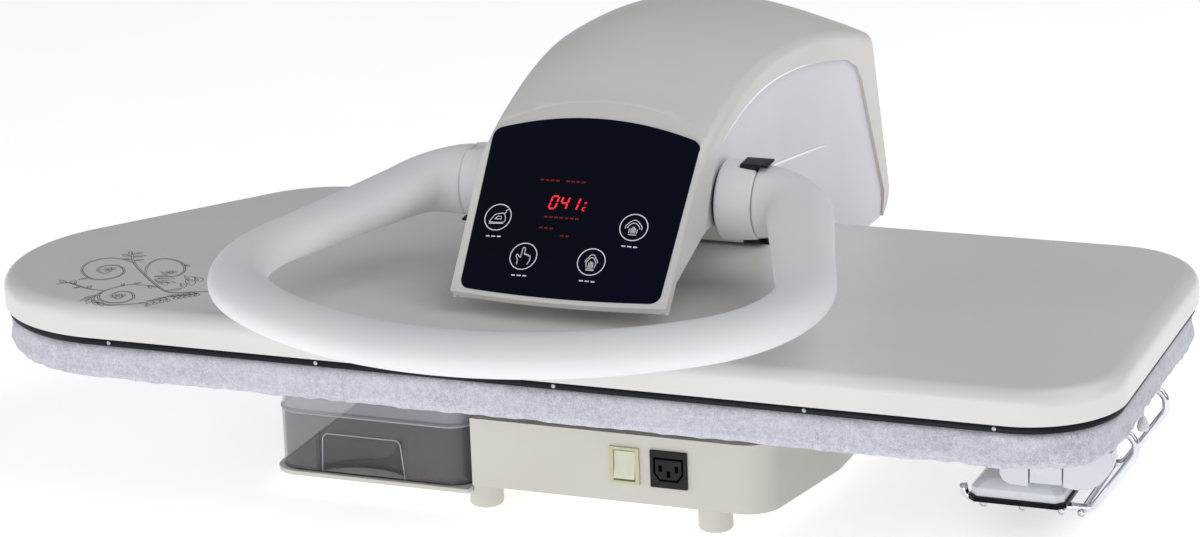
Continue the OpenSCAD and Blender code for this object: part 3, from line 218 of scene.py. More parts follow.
# %% Camera
view = bpy.data.cameras.new("studio_camera")
view.lens = 106.80
view.sensor_width = 36
view.sensor_fit = "HORIZONTAL"
camera = bpy.data.objects.new("studio_camera", view)
bpy.context.scene.collection.objects.link(camera)
right = Vector((0.93041438, 0.36488494, -0.03446836))
up = Vector((-0.07789278, 0.28875745, 0.95422841))
forward = Vector((-0.35813657, 0.88514299, -0.29708598))
turn = Matrix((right, up, -forward)).transposed().to_4x4()
camera.matrix_world = Matrix.Translation((1.09254, -2.64951, 1.05447)) @ turn
bpy.context.scene.camera = camera
print("camera looks along", tuple(round(v, 3) for v in forward))

# %% [markdown]
# A product picture of a pale appliance wants large soft lights. One broad window stands beside the camera and
# brightens every edge that faces it. A weaker one hangs above, so the flat tops stay a little greyer.

# %% Studio
scene = bpy.context.scene
world = bpy.data.worlds.new("studio_air")
world.use_nodes = True
air = world.node_tree.nodes["Background"].inputs
air["Color"].default_value = (0.92, 0.94, 1.0, 1)
air["Strength"].default_value = 0.34
scene.world = world
scene.view_settings.view_transform = "Standard"
print("view:", scene.view_settings.view_transform, scene.view_settings.exposure)


def put(name, data):
    """Adds an object to the scene."""
    made = bpy.data.objects.new(name, data)
    scene.collection.objects.link(made)
    return made


def soft_light(name, place, aim, size, power):
    lamp = bpy.data.lights.new(name, "AREA")
    lamp.shape = "RECTANGLE"
    lamp.size, lamp.size_y = size
    lamp.energy = power
    lit = put(name, lamp)
    lit.location = place
    lit.rotation_euler = (Vector(aim) - Vector(place)).to_track_quat("-Z", "Y").to_euler()


soft_light("window_by_camera", (0.2, -2.7, 0.55), (0, 0, 0.15), (2.4, 1.0), 20.5)
soft_light("window_left", (-2.5, -1.4, 0.8), (0, 0, 0.15), (1.4, 1.4), 11)
soft_light("sky_above", (1.5, 0.5, 2.3), (0.2, 0, 0.1), (2.0, 2.0), 19.5)
soft_light("edge_light", (2.2, -0.4, 1.1), (0.1, 0.1, 0.27), (1.0, 0.8), 3.5)

floor_mesh = bpy.data.meshes.new("studio_floor")
floor_mesh.from_pydata([(-9, -9, 0), (9, -9, 0), (9, 9, 0), (-9, 9, 0)], [], [(0, 1, 2, 3)])
studio_floor = put("studio_floor", floor_mesh)
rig.stage(studio_floor)

# %% [markdown]
# Every surface of this machine has some fine structure: a spark-eroded grain on the plastics, brushing on the steel,
# loops in the cloth. Each of these is one node group with named inputs, used again with other numbers.

# %% Shared surface groups


def node(tree, kind, links=(), **settings):
    """Adds a node, sets it up, feeds its inputs with plain values or other nodes' outputs, and gives its own."""
    made = tree.nodes.new(kind)
    for label, value in settings.items():
        setattr(made, label, value)
    for label, value in dict(links).items():
        if isinstance(value, bpy.types.NodeSocket):
            tree.links.new(value, made.inputs[label])
        else:
            made.inputs[label].default_value = value
    return made.outputs


def noise(tree, vector, scale, detail=3.0, rough=0.55):
    return node(tree, "ShaderNodeTexNoise", {"Vector": vector, "Scale": scale, "Detail": detail,
                                             "Roughness": rough})["Fac"]


def remap(tree, value, low, high, new_low, new_high):
    return node(tree, "ShaderNodeMapRange", {"Value": value, "From Min": low, "From Max": high, "To Min": new_low,
                                             "To Max": new_high})["Result"]


def calc(tree, kind, first, second):
    return node(tree, "ShaderNodeMath", {0: first, 1: second}, operation=kind)[0]


def mixed(tree, factor, first, second):
    """A mix of two colours. The node's inputs share names, so they are found by place: 6 and 7 are the colours."""
    return node(tree, "ShaderNodeMix", {0: factor, 6: first, 7: second}, data_type="RGBA")[2]


def bump(tree, height, strength, distance):
    return node(tree, "ShaderNodeBump", {"Height": height, "Strength": strength, "Distance": distance})["Normal"]


def new_group(name, inputs):
    """A shader group that takes a point of the surface and gives its colour, roughness and normal."""
    tree = bpy.data.node_groups.new(name, "ShaderNodeTree")
    for label, kind, value in (("Vector", "Vector", (0, 0, 0)), *inputs):
        socket = tree.interface.new_socket(name=label, in_out="INPUT", socket_type="NodeSocket" + kind)
        socket.default_value = value
    for label, kind in (("Colour", "Color"), ("Roughness", "Float"), ("Normal", "Vector")):
        tree.interface.new_socket(name=label, in_out="OUTPUT", socket_type="NodeSocket" + kind)
    return tree, tree.nodes.new("NodeGroupInput").outputs, tree.nodes.new("NodeGroupOutput").inputs


def close_group(tree, out, colour, roughness, normal):
    for label, source in (("Colour", colour), ("Roughness", roughness), ("Normal", normal)):
        tree.links.new(source, out[label])
    return tree


def moulded_group():
    """Injection-moulded plastic: a fine grain, a slow drift of tone, and dull handled patches."""
    tree, given, out = new_group("moulded_grain", (
        ("Tone", "Color", (0.7, 0.7, 0.7, 1)), ("Drift Tone", "Color", (0.66, 0.66, 0.66, 1)),
        ("Grain Scale", "Float", 900.0), ("Grain Depth", "Float", 0.1), ("Gloss Low", "Float", 0.34),
        ("Gloss High", "Float", 0.46)))
    point = given["Vector"]
    drift = remap(tree, noise(tree, point, 5.5, 2.0), 0.35, 0.7, 0, 1)
    handled = noise(tree, point, 34.0, 4.0, 0.6)
    grain = noise(tree, point, given["Grain Scale"], 2.0)
    return close_group(tree, out, mixed(tree, drift, given["Tone"], given["Drift Tone"]),
                       remap(tree, handled, 0.35, 0.7, given["Gloss Low"], given["Gloss High"]),
                       bump(tree, grain, given["Grain Depth"], 0.0004))


def brushed_group():
    """Rolled or brushed metal: long fine scratches along one direction."""
    tree, given, out = new_group("brushed_lines", (
        ("Tone", "Color", (0.6, 0.6, 0.6, 1)), ("Stain", "Color", (0.5, 0.5, 0.5, 1)),
        ("Stretch", "Vector", (14.0, 900.0, 900.0)), ("Depth", "Float", 0.2), ("Gloss Low", "Float", 0.24),
        ("Gloss High", "Float", 0.42)))
    pulled = node(tree, "ShaderNodeVectorMath", {0: given["Vector"], 1: given["Stretch"]}, operation="MULTIPLY")
    lines = noise(tree, pulled[0], 1.0, 3.0)
    cloud = remap(tree, noise(tree, given["Vector"], 22.0, 3.0), 0.4, 0.7, 0, 1)
    return close_group(tree, out, mixed(tree, cloud, given["Tone"], given["Stain"]),
                       remap(tree, lines, 0.3, 0.7, given["Gloss Low"], given["Gloss High"]),
                       bump(tree, lines, given["Depth"], 0.0002))


def napped_group():
    """Brushed cotton: fibres of two tones in short dashes, a woven ground and soft pills."""
    tree, given, out = new_group("napped_cloth", (
        ("Light", "Color", (0.7, 0.7, 0.75, 1)), ("Dark", "Color", (0.3, 0.32, 0.42, 1)),
        ("Fibre Scale", "Float", 420.0), ("Nap", "Float", 0.6)))
    point = given["Vector"]
    fibre = noise(tree, point, given["Fibre Scale"], 4.0, 0.7)
    patch = noise(tree, point, 210.0, 4.0, 0.65)
    cloud = remap(tree, noise(tree, point, 22.0, 2.0), 0.35, 0.7, 0, 0.35)
    dashes = calc(tree, "ADD", calc(tree, "MULTIPLY", fibre, 0.6), calc(tree, "MULTIPLY", patch, 0.4))
    tone = mixed(tree, remap(tree, dashes, 0.38, 0.62, 1, 0), given["Light"], given["Dark"])
    weave = node(tree, "ShaderNodeTexVoronoi", {"Vector": point, "Scale": 700})["Distance"]
    height = calc(tree, "ADD", calc(tree, "MULTIPLY", patch, 1.6),
                  calc(tree, "ADD", fibre, calc(tree, "MULTIPLY", weave, 0.5)))
    return close_group(tree, out, mixed(tree, cloud, tone, given["Light"]), remap(tree, patch, 0.3, 0.7, 0.8, 0.97),
                       bump(tree, height, given["Nap"], 0.0011))


MOULDED, BRUSHED, NAPPED = moulded_group(), brushed_group(), napped_group()
print("surface groups:", MOULDED.name, BRUSHED.name, NAPPED.name)

# %% [markdown]
# A finish is one material: the group paints colour, roughness and grain, and the plain numbers of the shader, such as
# coat or sheen, stay on the shader itself. Tones are given as a screen shows them, from 0 to 255.

# %% Finishes
FINISH = {}


def tint(tone):
    """A screen colour as the shader wants it."""
    return (*(((c / 255 + 0.055) / 1.055) ** 2.4 if c > 10 else c / 255 / 12.92 for c in tone), 1)


def finish_of(name, group, values, **plain):
    made = FINISH[name] = bpy.data.materials.new(name)
    made.use_nodes = True
    tree = made.node_tree
    shader = tree.nodes["Principled BSDF"]
    for label, value in plain.items():
        shader.inputs[label.replace("_", " ")].default_value = value
    point = node(tree, "ShaderNodeTexCoord")["Object"]
    placed = node(tree, "ShaderNodeGroup", {"Vector": point, **values}, node_tree=group)
    for label, target in (("Colour", "Base Color"), ("Roughness", "Roughness"), ("Normal", "Normal")):
        tree.links.new(placed[label], shader.inputs[target])
    return made


def moulded(name, tone, drift, gloss, grain=900.0, depth=0.12, **plain):
    return finish_of(name, MOULDED, {"Tone": tint(tone), "Drift Tone": tint(drift), "Grain Scale": grain,
                                     "Grain Depth": depth, "Gloss Low": gloss[0], "Gloss High": gloss[1]}, **plain)


def metal(name, tone, stain, gloss, stretch, depth=0.2):
    return finish_of(name, BRUSHED, {"Tone": tint(tone), "Stain": tint(stain), "Stretch": stretch, "Depth": depth,
                                     "Gloss Low": gloss[0], "Gloss High": gloss[1]}, Metallic=1.0)


def napped(name, light, dark, scale, nap, **plain):
    return finish_of(name, NAPPED, {"Light": tint(light), "Dark": tint(dark), "Fibre Scale": scale, "Nap": nap},
                     **plain)


def clear(name, tone, drift, alpha):
    return moulded(name, tone, drift, (0.05, 0.09), 6.0, 0.0, Alpha=alpha, Coat_Weight=0.6, Coat_Roughness=0.04)


moulded("shell_cream", (222, 220, 215), (216, 214, 208), (0.34, 0.44), Coat_Weight=0.12, Coat_Roughness=0.25)
moulded("cover_satin", (224, 223, 220), (219, 218, 214), (0.30, 0.38), Coat_Weight=0.2, Coat_Roughness=0.2)
moulded("panel_lavender", (228, 225, 231), (222, 219, 226), (0.36, 0.46))
moulded("base_grey", (209, 206, 198), (203, 199, 190), (0.36, 0.46), Coat_Weight=0.1)
moulded("grip_skin", (231, 230, 232), (225, 224, 228), (0.5, 0.64), 420.0, 0.2, Sheen_Weight=0.15)
moulded("black_glass", (3, 7, 20), (4, 6, 34), (0.06, 0.1), 60.0, 0.01, Specular_IOR_Level=0.12)
moulded("black_trim", (17, 17, 27), (12, 12, 20), (0.4, 0.55), Specular_IOR_Level=0.25)
moulded("socket_black", (22, 16, 18), (17, 13, 14), (0.4, 0.55), 1200.0, 0.2, Specular_IOR_Level=0.3)
moulded("rubber", (38, 38, 40), (30, 30, 32), (0.6, 0.8), 500.0, 0.3)
moulded("switch_green", (196, 199, 164), (190, 192, 156), (0.26, 0.36))
moulded("rocker_green", (212, 214, 192), (206, 209, 185), (0.2, 0.3), Coat_Weight=0.3)
moulded("white_plastic", (220, 223, 227), (213, 216, 221), (0.24, 0.34), Coat_Weight=0.3)
moulded("pad_foam", (238, 230, 200), (228, 218, 184), (0.85, 0.95), 300.0, 0.6)
moulded("circuit_green", (32, 92, 56), (24, 74, 46), (0.3, 0.5), 200.0, 0.3)
moulded("hose_clear", (206, 209, 210), (196, 199, 200), (0.35, 0.5))
moulded("ceramic", (238, 234, 224), (228, 222, 210), (0.2, 0.4))
moulded("bush_white", (224, 222, 214), (214, 212, 204), (0.4, 0.55))
metal("sole_dark", (34, 33, 34), (24, 23, 24), (0.25, 0.4), (40.0, 40.0, 40.0), 0.1)
metal("chrome_wire", (228, 230, 234), (214, 217, 222), (0.08, 0.16), (60.0, 60.0, 60.0), 0.02)
metal("steel", (190, 192, 195), (168, 170, 174), (0.26, 0.42), (14.0, 700.0, 700.0))
metal("aluminium", (200, 201, 203), (182, 183, 186), (0.3, 0.46), (700.0, 14.0, 700.0))
napped("blanket_fibre", (236, 232, 206), (206, 198, 160), 260.0, 0.8)
napped("board_cloth", (222, 222, 230), (164, 165, 178), 900.0, 0.5, Sheen_Weight=0.2)
clear("smoked", (122, 118, 119), (110, 106, 106), 0.38)
# A lighter copy of the smoked plastic for the lid and its cap: painted light on the tank's top.
clear("smoked_top_painted_light", (190, 189, 196), (178, 177, 184), 0.4)
clear("smoked_rim", (34, 32, 36), (26, 25, 28), 0.92)
# A light copy of the clear plastic: the painted highlight of the tank's rim and pocket beads.
clear("painted_rim_highlight", (186, 186, 192), (170, 170, 178), 0.9)
moulded("floor_paint", (246, 246, 246), (243, 243, 244), (0.8, 0.9), Specular_IOR_Level=0.1,
        Emission_Color=(1, 1, 1, 1), Emission_Strength=0.55)
studio_floor.data.materials.append(FINISH["floor_paint"])

WORN_BY = {
    "base_grey": "base_housing base_plate tank_ledge feet",
    "steel": "base_screws hinge_tower hinge_shaft shaft_rings balance_springs board_brackets arm_frame rim_screws "
             "heating_element plate_standoffs handle_shaft handle_tube",
    "shell_cream": "tower_cover head_shell head_belly control_bezel",
    "panel_lavender": "left_side_panel right_side_panel",
    "cover_satin": "upper_cover",
    "grip_skin": "foam_grip grip_sockets",
    "black_glass": "control_glass",
    "black_trim": "rest_clips rim_band grip_clips",
    "socket_black": "iron_outlet mains_inlet pump",
    "rubber": "pump_rings tank_valve socket_gaskets",
    "switch_green": "switch_frame",
    "rocker_green": "power_rocker",
    "white_plastic": "drawcord_toggle iron_body iron_handle",
    "hose_clear": "feed_hose riser_hose plate_hose",
    "bush_white": "dock_valve arm_bushes",
    "circuit_green": "power_board display_board",
    "aluminium": "board_tray steam_chamber press_plate",
    "pad_foam": "board_pad",
    "board_cloth": "board_fabric",
    "blanket_fibre": "insulation_blanket",
    "chrome_wire": "iron_rest",
    "sole_dark": "iron_soleplate",
    "ceramic": "thermostat",
    "smoked": "water_tank",
    # The lid and its cap wear the lighter copy: painted light on the tank's top.
    "smoked_top_painted_light": "tank_lid filler_cap",
}
FINISHES = {label: FINISH[name] for name, labels in WORN_BY.items() for label in labels.split()}
for label, piece in nodes.items():
    piece.data.materials.clear()
    piece.data.materials.append(FINISHES[label])
print("finishes:", len(WORN_BY), "for", len(FINISHES), "solids")

# %% [markdown]
# A real moulding has no knife edges: every edge catches a thin line of light. The solids have sharp edges, so most
# visible pieces are made again from a copy of the solid's own mesh, merged, cleaned of its flat triangles and
# bevelled. The bevel could be faked in the shader, but a real one also shows in the outline.

# %% Making and rounding pieces
SLOT_OF = {part["node"]: part["material_slot"] for part in frame["record"]["subparts"]}
EVEN_NORMALS = ("WEIGHTED_NORMAL", {"keep_sharp": True})


def through(mesh, *steps):
    """Runs a mesh through modifiers, given as (kind, settings), and returns a plain mesh. A setting that the modifier
    doesn't know is an input of its node tree."""
    draft = put("draft", mesh)
    for kind, settings in steps:
        step = draft.modifiers.new(kind.lower(), kind)
        for label, value in settings.items():
            if hasattr(step, label):
                setattr(step, label, value)
            else:
                step[label] = value
    bpy.context.view_layer.update()
    result = bpy.data.meshes.new_from_object(draft.evaluated_get(bpy.context.evaluated_depsgraph_get()))
    bpy.data.objects.remove(draft)
    return result


def as_mesh(shape, name, smooth=True):
    mesh = bpy.data.meshes.new(name)
    shape.to_mesh(mesh)
    shape.free()
    if smooth:
        mesh.shade_smooth()
    return mesh


def new_piece(name, mesh, on, finish=None, stands_in=True):
    """Adds a piece that moves with one solid's body. It wears that solid's finish and is shown in its place, unless
    told otherwise."""
    piece = put(name, mesh)
    mesh.materials.clear()
    mesh.materials.append(finish or FINISHES[on])
    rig.ride(piece, nodes[on]["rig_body"])
    if stands_in:
        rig.replaces(piece, on)
    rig.slot(piece, SLOT_OF[on])
    return piece


def moulding(name, mesh, on, width, segments=2, angle=38):
    """A piece whose sharp edges get a round of the given width, in millimetres."""
    mesh.shade_smooth()
    bevel = ("BEVEL", {"width": width / 1000, "segments": segments, "limit_method": "ANGLE",
                       "angle_limit": math.radians(angle), "harden_normals": True})
    return new_piece(name, through(mesh, bevel, EVEN_NORMALS), on)


def rounded(label, width):
    shape = bmesh.new()
    shape.from_mesh(nodes[label].data)
    if label == "grip_clips":  # the press in the photograph has none at the top left
        hidden = [v for v in shape.verts if v.co.x < HEAD_X / 1000 and v.co.z > 0.24]
        bmesh.ops.delete(shape, geom=hidden, context="VERTS")
    bmesh.ops.remove_doubles(shape, verts=shape.verts, dist=1e-6)
    bmesh.ops.dissolve_limit(shape, angle_limit=math.radians(0.5), verts=shape.verts, edges=shape.edges)
    moulding(label + "_moulding", as_mesh(shape, label), label, width, 3 if width > 1 else 2, 30)


ROUNDED = {"base_housing": 1.6, "tank_ledge": 0.8, "feet": 0.8, "tower_cover": 1.4, "switch_frame": 0.7,
           "power_rocker": 0.5, "iron_outlet": 0.5, "mains_inlet": 0.5, "left_side_panel": 0.7, "right_side_panel": 0.7,
           "head_belly": 0.5, "socket_gaskets": 0.3, "grip_sockets": 0.8, "grip_clips": 0.9, "rest_clips": 0.6,
           "tank_lid": 0.7, "filler_cap": 0.6, "iron_soleplate": 0.5, "iron_body": 1.0,
           "iron_handle": 1.2, "drawcord_toggle": 0.3}
for label, width in ROUNDED.items():
    rounded(label, width)
print("rounded solids:", len(ROUNDED))

# %% [markdown]
# The board, the cover and the rim band share one outline: straight lines and arcs of four circles. Walking round it
# by direction would leave the straight runs without points, so it is measured out again in equal steps. Each point
# keeps its outward direction, and a step along that gives any parallel line.

# %% The board's outline
CIRCLES = ((427, -122, 78), (427, 122, 78), (-285, 100, 100), (-360, -65, 135))


def measured_outline(step):
    corners = []
    for k in range(1440):
        turn_by = math.radians(k / 4)
        side = Vector((math.cos(turn_by), math.sin(turn_by)))
        x, y, r = max(CIRCLES, key=lambda c: c[0] * side.x + c[1] * side.y + c[2])
        corners.append((Vector((x, y)) + r * side, side))
    found, carry = [], 0.0
    for (a, n_a), (b, n_b) in around(corners):
        length = (b - a).length
        while carry < length:
            part = carry / length
            found.append((a.lerp(b, part), n_a.lerp(n_b, part).normalized()))
            carry += step
        carry -= length
    return found


OUTLINE = measured_outline(4.0)


def parallel_line(out, z):
    return [row(*(p + n * out), z) for p, n in OUTLINE]


def skinned(rings, name, loop=False, caps=True):
    """A surface through rings with equal numbers of points."""
    shape = bmesh.new()
    rows = [[shape.verts.new(point) for point in ring] for ring in rings]
    for low, high in around(rows) if loop else zip(rows, rows[1:]):
        for (a, b), (d, c) in zip(around(low), around(high)):
            shape.faces.new((a, b, c, d))
    if caps and not loop:
        shape.faces.new(rows[0][::-1])
        shape.faces.new(rows[-1])
    bmesh.ops.remove_doubles(shape, verts=shape.verts, dist=1e-6)
    bmesh.ops.recalc_face_normals(shape, faces=shape.faces)
    return as_mesh(shape, name)


def skin_along(steps, name, loop=False):
    """A skin of rings along the outline. Each ring is given by its step outward and its height."""
    return skinned([parallel_line(out, z) for out, z in steps], name, loop)


print("outline:", len(OUTLINE), "points, 4 mm apart")

# %% [markdown]
# The upper cover is a shallow tray turned upside down, with a generous roll along its top edge. It is one skin of
# rings: along the inside, round the lower lip and over the roll. The black rim band under it is a plain closed loop.

# %% Upper cover and rim band
COVER_TOP, EDGE_R = 159.5, 13.0
lip = [(-15, 155.5), (-4, 141.5), (-4, 132.6), (-3.4, 132.0), (-0.7, 132.0), (-0.2, 132.2), (0, 132.7)]
roll = arc(-EDGE_R, COVER_TOP - EDGE_R, EDGE_R, range(0, 91, 6))
new_piece("cover_moulding", through(skin_along(lip + roll, "cover_skin"), EVEN_NORMALS), "upper_cover")
band = [(-12, 125.3), (-3.4, 125.3), (-3.0, 125.7), (-3.0, 132.0), (-12, 132.0)]
new_piece("rim_band_strip", through(skin_along(band, "rim_strip", loop=True), EVEN_NORMALS), "rim_band")
print("cover rings:", len(lip + roll))

# %% [markdown]
# The head is a loft: at each depth a half width, a shoulder height and a crown. The drawing uses few sections; here
# the same rules are sampled finely, and the openings are carved with exact booleans.

# %% Head shell
HEAD_BACK, HEAD_HALF, WALL = 341.0, 98, 3.2
SHOULDER_Y, SHOULDER_Z, FALL_AHEAD, FALL_BEHIND = 140, 321.5, 27 / 140 ** 2, 29.5 / 201 ** 2
CROWN_Y, CROWN_Z, CROWN_R, LEAST_RISE = 180, 352.0, 370, 14
PANEL_Y, PANEL_Z, PANEL_TILT = -122.0, 178.0, math.radians(48.7)
BACK_LEAN, BACK_TOP, BACK_FOOT = 33, 292, 134
REACH = 160


def head_half(y):
    return HEAD_HALF + 0.03 * min(y, 0) + 24 * (max(y, 0) / HEAD_BACK) ** 2


def crease_z(y):
    return SHOULDER_Z - (FALL_AHEAD if y < SHOULDER_Y else FALL_BEHIND) * (y - SHOULDER_Y) ** 2


def crown_height(y):
    arch = CROWN_Z - CROWN_R + math.sqrt(CROWN_R ** 2 - (y - CROWN_Y) ** 2)
    return max(crease_z(y) + LEAST_RISE, arch)


def half_section(y, inset):
    """The right half of a section: the wall, the rounded shoulder and the arch up to the middle."""
    w, f = head_half(y) - inset, 11 - inset / 2
    rise = crown_height(y) - crease_z(y)
    radius = (head_half(y) ** 2 + rise ** 2) / (2 * rise) - inset
    middle = crown_height(y) - inset - radius
    lean = math.asin((w - f) / (radius - f))
    up_to = 90 - math.degrees(lean)
    shoulder = arc(w - f, middle + (radius - f) * math.cos(lean), f, [k * up_to / 8 for k in range(9)])
    return [(w, 90), *shoulder, *arc(0, middle, radius, [90 - (90 - up_to) * (1 - k / 12) for k in range(1, 13)])]


def head_loft(inset):
    return skinned([[on_head(x, y, z) for x, z in mirrored(half_section(y, inset))] for y in range(-142, 399, 9)],
                   "loft")


def prism(outline, low, high, place):
    """A closed block: a flat outline pulled from one level to another."""
    return skinned([[place(p, q, level) for p, q in outline] for level in (low, high)], "prism")


def window_top(y):
    return crease_z(y) - 18 - 6 * max(0, y) / 290


def across_head(outline):
    """A block across the whole head, its outline seen from the side."""
    return prism(outline, -REACH, REACH, lambda y, z, x: on_head(x, y, z))


def on_panel(u, s, n):
    return tilted(u, PANEL_Y, PANEL_Z, PANEL_TILT, s, n)


def carve(mesh, tool, operation="DIFFERENCE"):
    other = put("tool", tool)
    result = through(mesh, ("BOOLEAN", {"object": other, "operation": operation, "solver": "EXACT"}))
    bpy.data.objects.remove(other)
    return result


def wall_y(z):
    return HEAD_BACK + BACK_LEAN * (BACK_TOP - z) / (BACK_TOP - BACK_FOOT)


HEAD_SIDE = [(-152, 169.5), (-121, 169.5), (-103, 191), (-42, 214), (93, 214), (105, 162.5), (212, 162.5), (220, 113),
             (wall_y(113) - 48, 113), *arc(wall_y(BACK_FOOT) - 30, 142, 30, range(-60, 1, 6)), (HEAD_BACK, BACK_TOP),
             (HEAD_BACK + 1, 372), (-142, 372)]
INNER_SIDE = [(-176, 60), (wall_y(60) - WALL, 60), (HEAD_BACK - WALL, BACK_TOP), (HEAD_BACK - WALL, 372), (-176, 372)]
WINDOW = [*((y, window_top(y)) for y in (-8, 8, 20, 35, 50, 70, 90, 115, 140, 165, 190, 215, 240, 265, 290)),
          (310, crease_z(310) - 30), (320, crease_z(320) - 42), (wall_y(BACK_FOOT) - 10, 140),
          (wall_y(BACK_FOOT) - 30, 20), (-90, 20), (-34, 226)]
head_block = carve(head_loft(0), across_head(HEAD_SIDE), "INTERSECT")
before_panel = prism([(-200, -200), (200, -200), (200, 400), (-200, 400)], -6, 300, on_panel)
hollow = carve(head_loft(WALL), across_head(INNER_SIDE), "INTERSECT")
shell = head_block
for tool in (before_panel, hollow, across_head(WINDOW)):
    shell = carve(shell, tool)
moulding("head_shell_moulding", shell, "head_shell", 0.7)
print("head shell faces:", len(shell.polygons))

# %% [markdown]
# The control panel is black glass in a cream frame. Its outline is a convex curve with rounded corners, found by
# drawing every side inwards and then rolling a disc round the result. The face bows slightly from side to side.

# %% Control glass and its frame
FACE_BOW, FACE_RISE, FACE_HALF, GLASS_R = 900.0, 6, 132, 9.0
FRAME_PROFILE = ((0, -6), (0, 6.3), (0.6, 7.1), (1.7, 7.5), (10, 7.5), (20, 7.5), (20, -6))


def glass_line(grow):
    spread = [k / 12 - 1 for k in range(25)]
    ring = [(-91.5 * u, 144.5 + 13.5 * (1 - u * u)) for u in spread] + [(87 * u, -5 * (1 - u * u)) for u in spread]
    sides = []
    for (x0, y0), (x1, y1) in around(ring):
        length = math.hypot(x1 - x0, y1 - y0)
        nx, ny = (y1 - y0) / length, (x0 - x1) / length
        sides.append((nx, ny, nx * x0 + ny * y0 - GLASS_R))
    found = []
    for (a0, b0, c0), (a1, b1, c1) in around(sides):
        det = a0 * b1 - a1 * b0
        start = math.degrees(math.atan2(b0, a0))
        swing = (math.degrees(math.atan2(b1, a1)) - start) % 360
        steps = max(1, round(swing / 6))
        found += arc((c0 * b1 - c1 * b0) / det, (a0 * c1 - a1 * c0) / det, GLASS_R + grow,
                     [start + swing * (k + 0.5) / steps for k in range(steps)])
    return found


def bow(u, h):
    return h - FACE_BOW + math.sqrt(FACE_BOW ** 2 - u * u)


def frame_ring(grow, height):
    """A line round the glass. Above the glass it climbs to meet the crown."""
    ring = []
    for (u, s), (v, t) in zip(glass_line(0.3), glass_line(1.3)):
        climb = 9 * share(s, 90, 120) * max(0, grow - 3) / 17
        u, s = u + (v - u) * grow, s + (t - s) * grow
        ring.append(on_panel(u, s, bow(u, height + climb) if height > 0 else height))
    return ring


face = [(u, bow(u, FACE_RISE)) for u in range(-FACE_HALF, FACE_HALF + 1, 4)]
under_face = prism([(-FACE_HALF, -60), *face, (FACE_HALF, -60)], -60, 260, lambda u, n, s: on_panel(u, s, n))
glass = carve(prism(glass_line(0), -4, 20, on_panel), under_face, "INTERSECT")
moulding("control_glass_pane", glass, "control_glass", 0.8, 3)
rim = skinned([frame_ring(grow, height) for grow, height in FRAME_PROFILE], "frame", loop=True)
above_lip = [(u / 7 * 89, -5 * (1 - (u / 7) ** 2) - 4.8) for u in range(-9, 10)] + [(130, 220), (-130, 220)]
rim = carve(carve(rim, prism(above_lip, -20, 60, on_panel), "INTERSECT"), head_block, "INTERSECT")
moulding("control_frame_moulding", rim, "control_bezel", 1.3, 3)
print("glass outline:", len(glass_line(0)), "points, frame faces:", len(rim.polygons))

# %% [markdown]
# The signs on the glass are printed, and the figures are small lamps behind it. Both are flat strokes of even width.
# A ribbon of quads follows each line of points, and a thin thickness turns it into a layer of ink. Only signs that
# any such machine may carry are drawn: an iron, a pointing hand, two clouds of steam and plain figures.

# %% Signs on the glass
STEAM_JETS = [[(x, -5.2), (x, y)] for x, y in ((-1.8, -0.6), (-0.6, 0.5), (0.6, 0.5), (1.8, -0.6))]
IRON_SIGN = [[(-7, -4.5), (-3.5, 1.8), (0, 3.2), (5, 3.4), (6.5, -4), (-7, -4.5)],
             [(-2.5, -1.5), (0, 1), (3, 1), (3.5, -1.5), (-2.5, -1.5)], [(5, 3.4), (6.5, 5), (6.2, 6.5), (8, 7.2)],
             [(-7.2, -5.8), (6, -5.4)]]
HAND_SIGN = [[(-4.2, -7.5), (-4.8, -3), (-6.4, 0.2), (-5.6, 1.6), (-3.4, -0.6), (-2.2, -0.5), (-2, 6.5), (-0.8, 7.8),
              (0.4, 6.5), (0.6, 1.6), (1.8, 2.4), (2.6, 1.2), (3.8, 1.8), (4.6, 0.4), (6, 0.6), (6.2, -3), (4.8, -7.2)]]
STEAM_SIGN = [mirrored([(-5.5, -0.5), (-4.6, 2), (-3, 3.6), (-2, 5.6), (0, 6.4)]),
              mirrored([(-3.4, -5), (-4.2, -1), (-2.8, 1.4), (-1.6, 3.2), (0, 3.9)]), [(-3.4, -6.2), (3.4, -6.2)],
              [(-3.4, -7.4), (3.4, -7.4)], *STEAM_JETS]
CLOUD_SIGN = [mirrored([(-7, -1.5), (-6.8, 1), (-5, 3.2), (-3, 5.2), (0, 6.6)]),
              mirrored([(-5.5, -1), (-4, 1.6), (-2, 3.2), (0, 3.9)]), [(-3.4, -6.6), (3.4, -6.6)], *STEAM_JETS,
              [(-3.4, -5.2), (-3.4, -1.6)], [(3.4, -5.2), (3.4, -1.6)]]
SIGNS = {(-67.9, 63.7): IRON_SIGN, (-36.6, 30.1): HAND_SIGN, (23.2, 29.8): STEAM_SIGN, (52.0, 63.6): CLOUD_SIGN}
SEGMENTS = {"a": (0, 1, 1, 1), "b": (1, 0.5, 1, 1), "c": (1, 0, 1, 0.5), "d": (0, 0, 1, 0), "e": (0, 0, 0, 0.5),
            "f": (0, 0.5, 0, 1), "g": (0, 0.5, 1, 0.5)}
RING_R, SIGN_LINE, DASH_DROP, INK_LIFT = 11.7, 0.62, 17.2, 0.02
FIGURE_X, FIGURE_Z, FIGURE_PITCH, FIGURE_LEAN = -25.0, 74.2, 9.4, 0.16


def flowing(points, steps):
    """A smooth line through the points, by cubic pieces that share their slopes."""
    ends = [points[0], *points, points[-1]]
    line = []
    for p0, p1, p2, p3 in zip(ends, ends[1:], ends[2:], ends[3:]):
        for t in (k / steps for k in range(steps)):
            line.append(tuple(0.5 * (2 * b + (c - a) * t + (2 * a - 5 * b + 4 * c - d) * t ** 2
                                     + (3 * b - a - 3 * c + d) * t ** 3) for a, b, c, d in zip(p0, p1, p2, p3)))
    return line + [points[-1]]


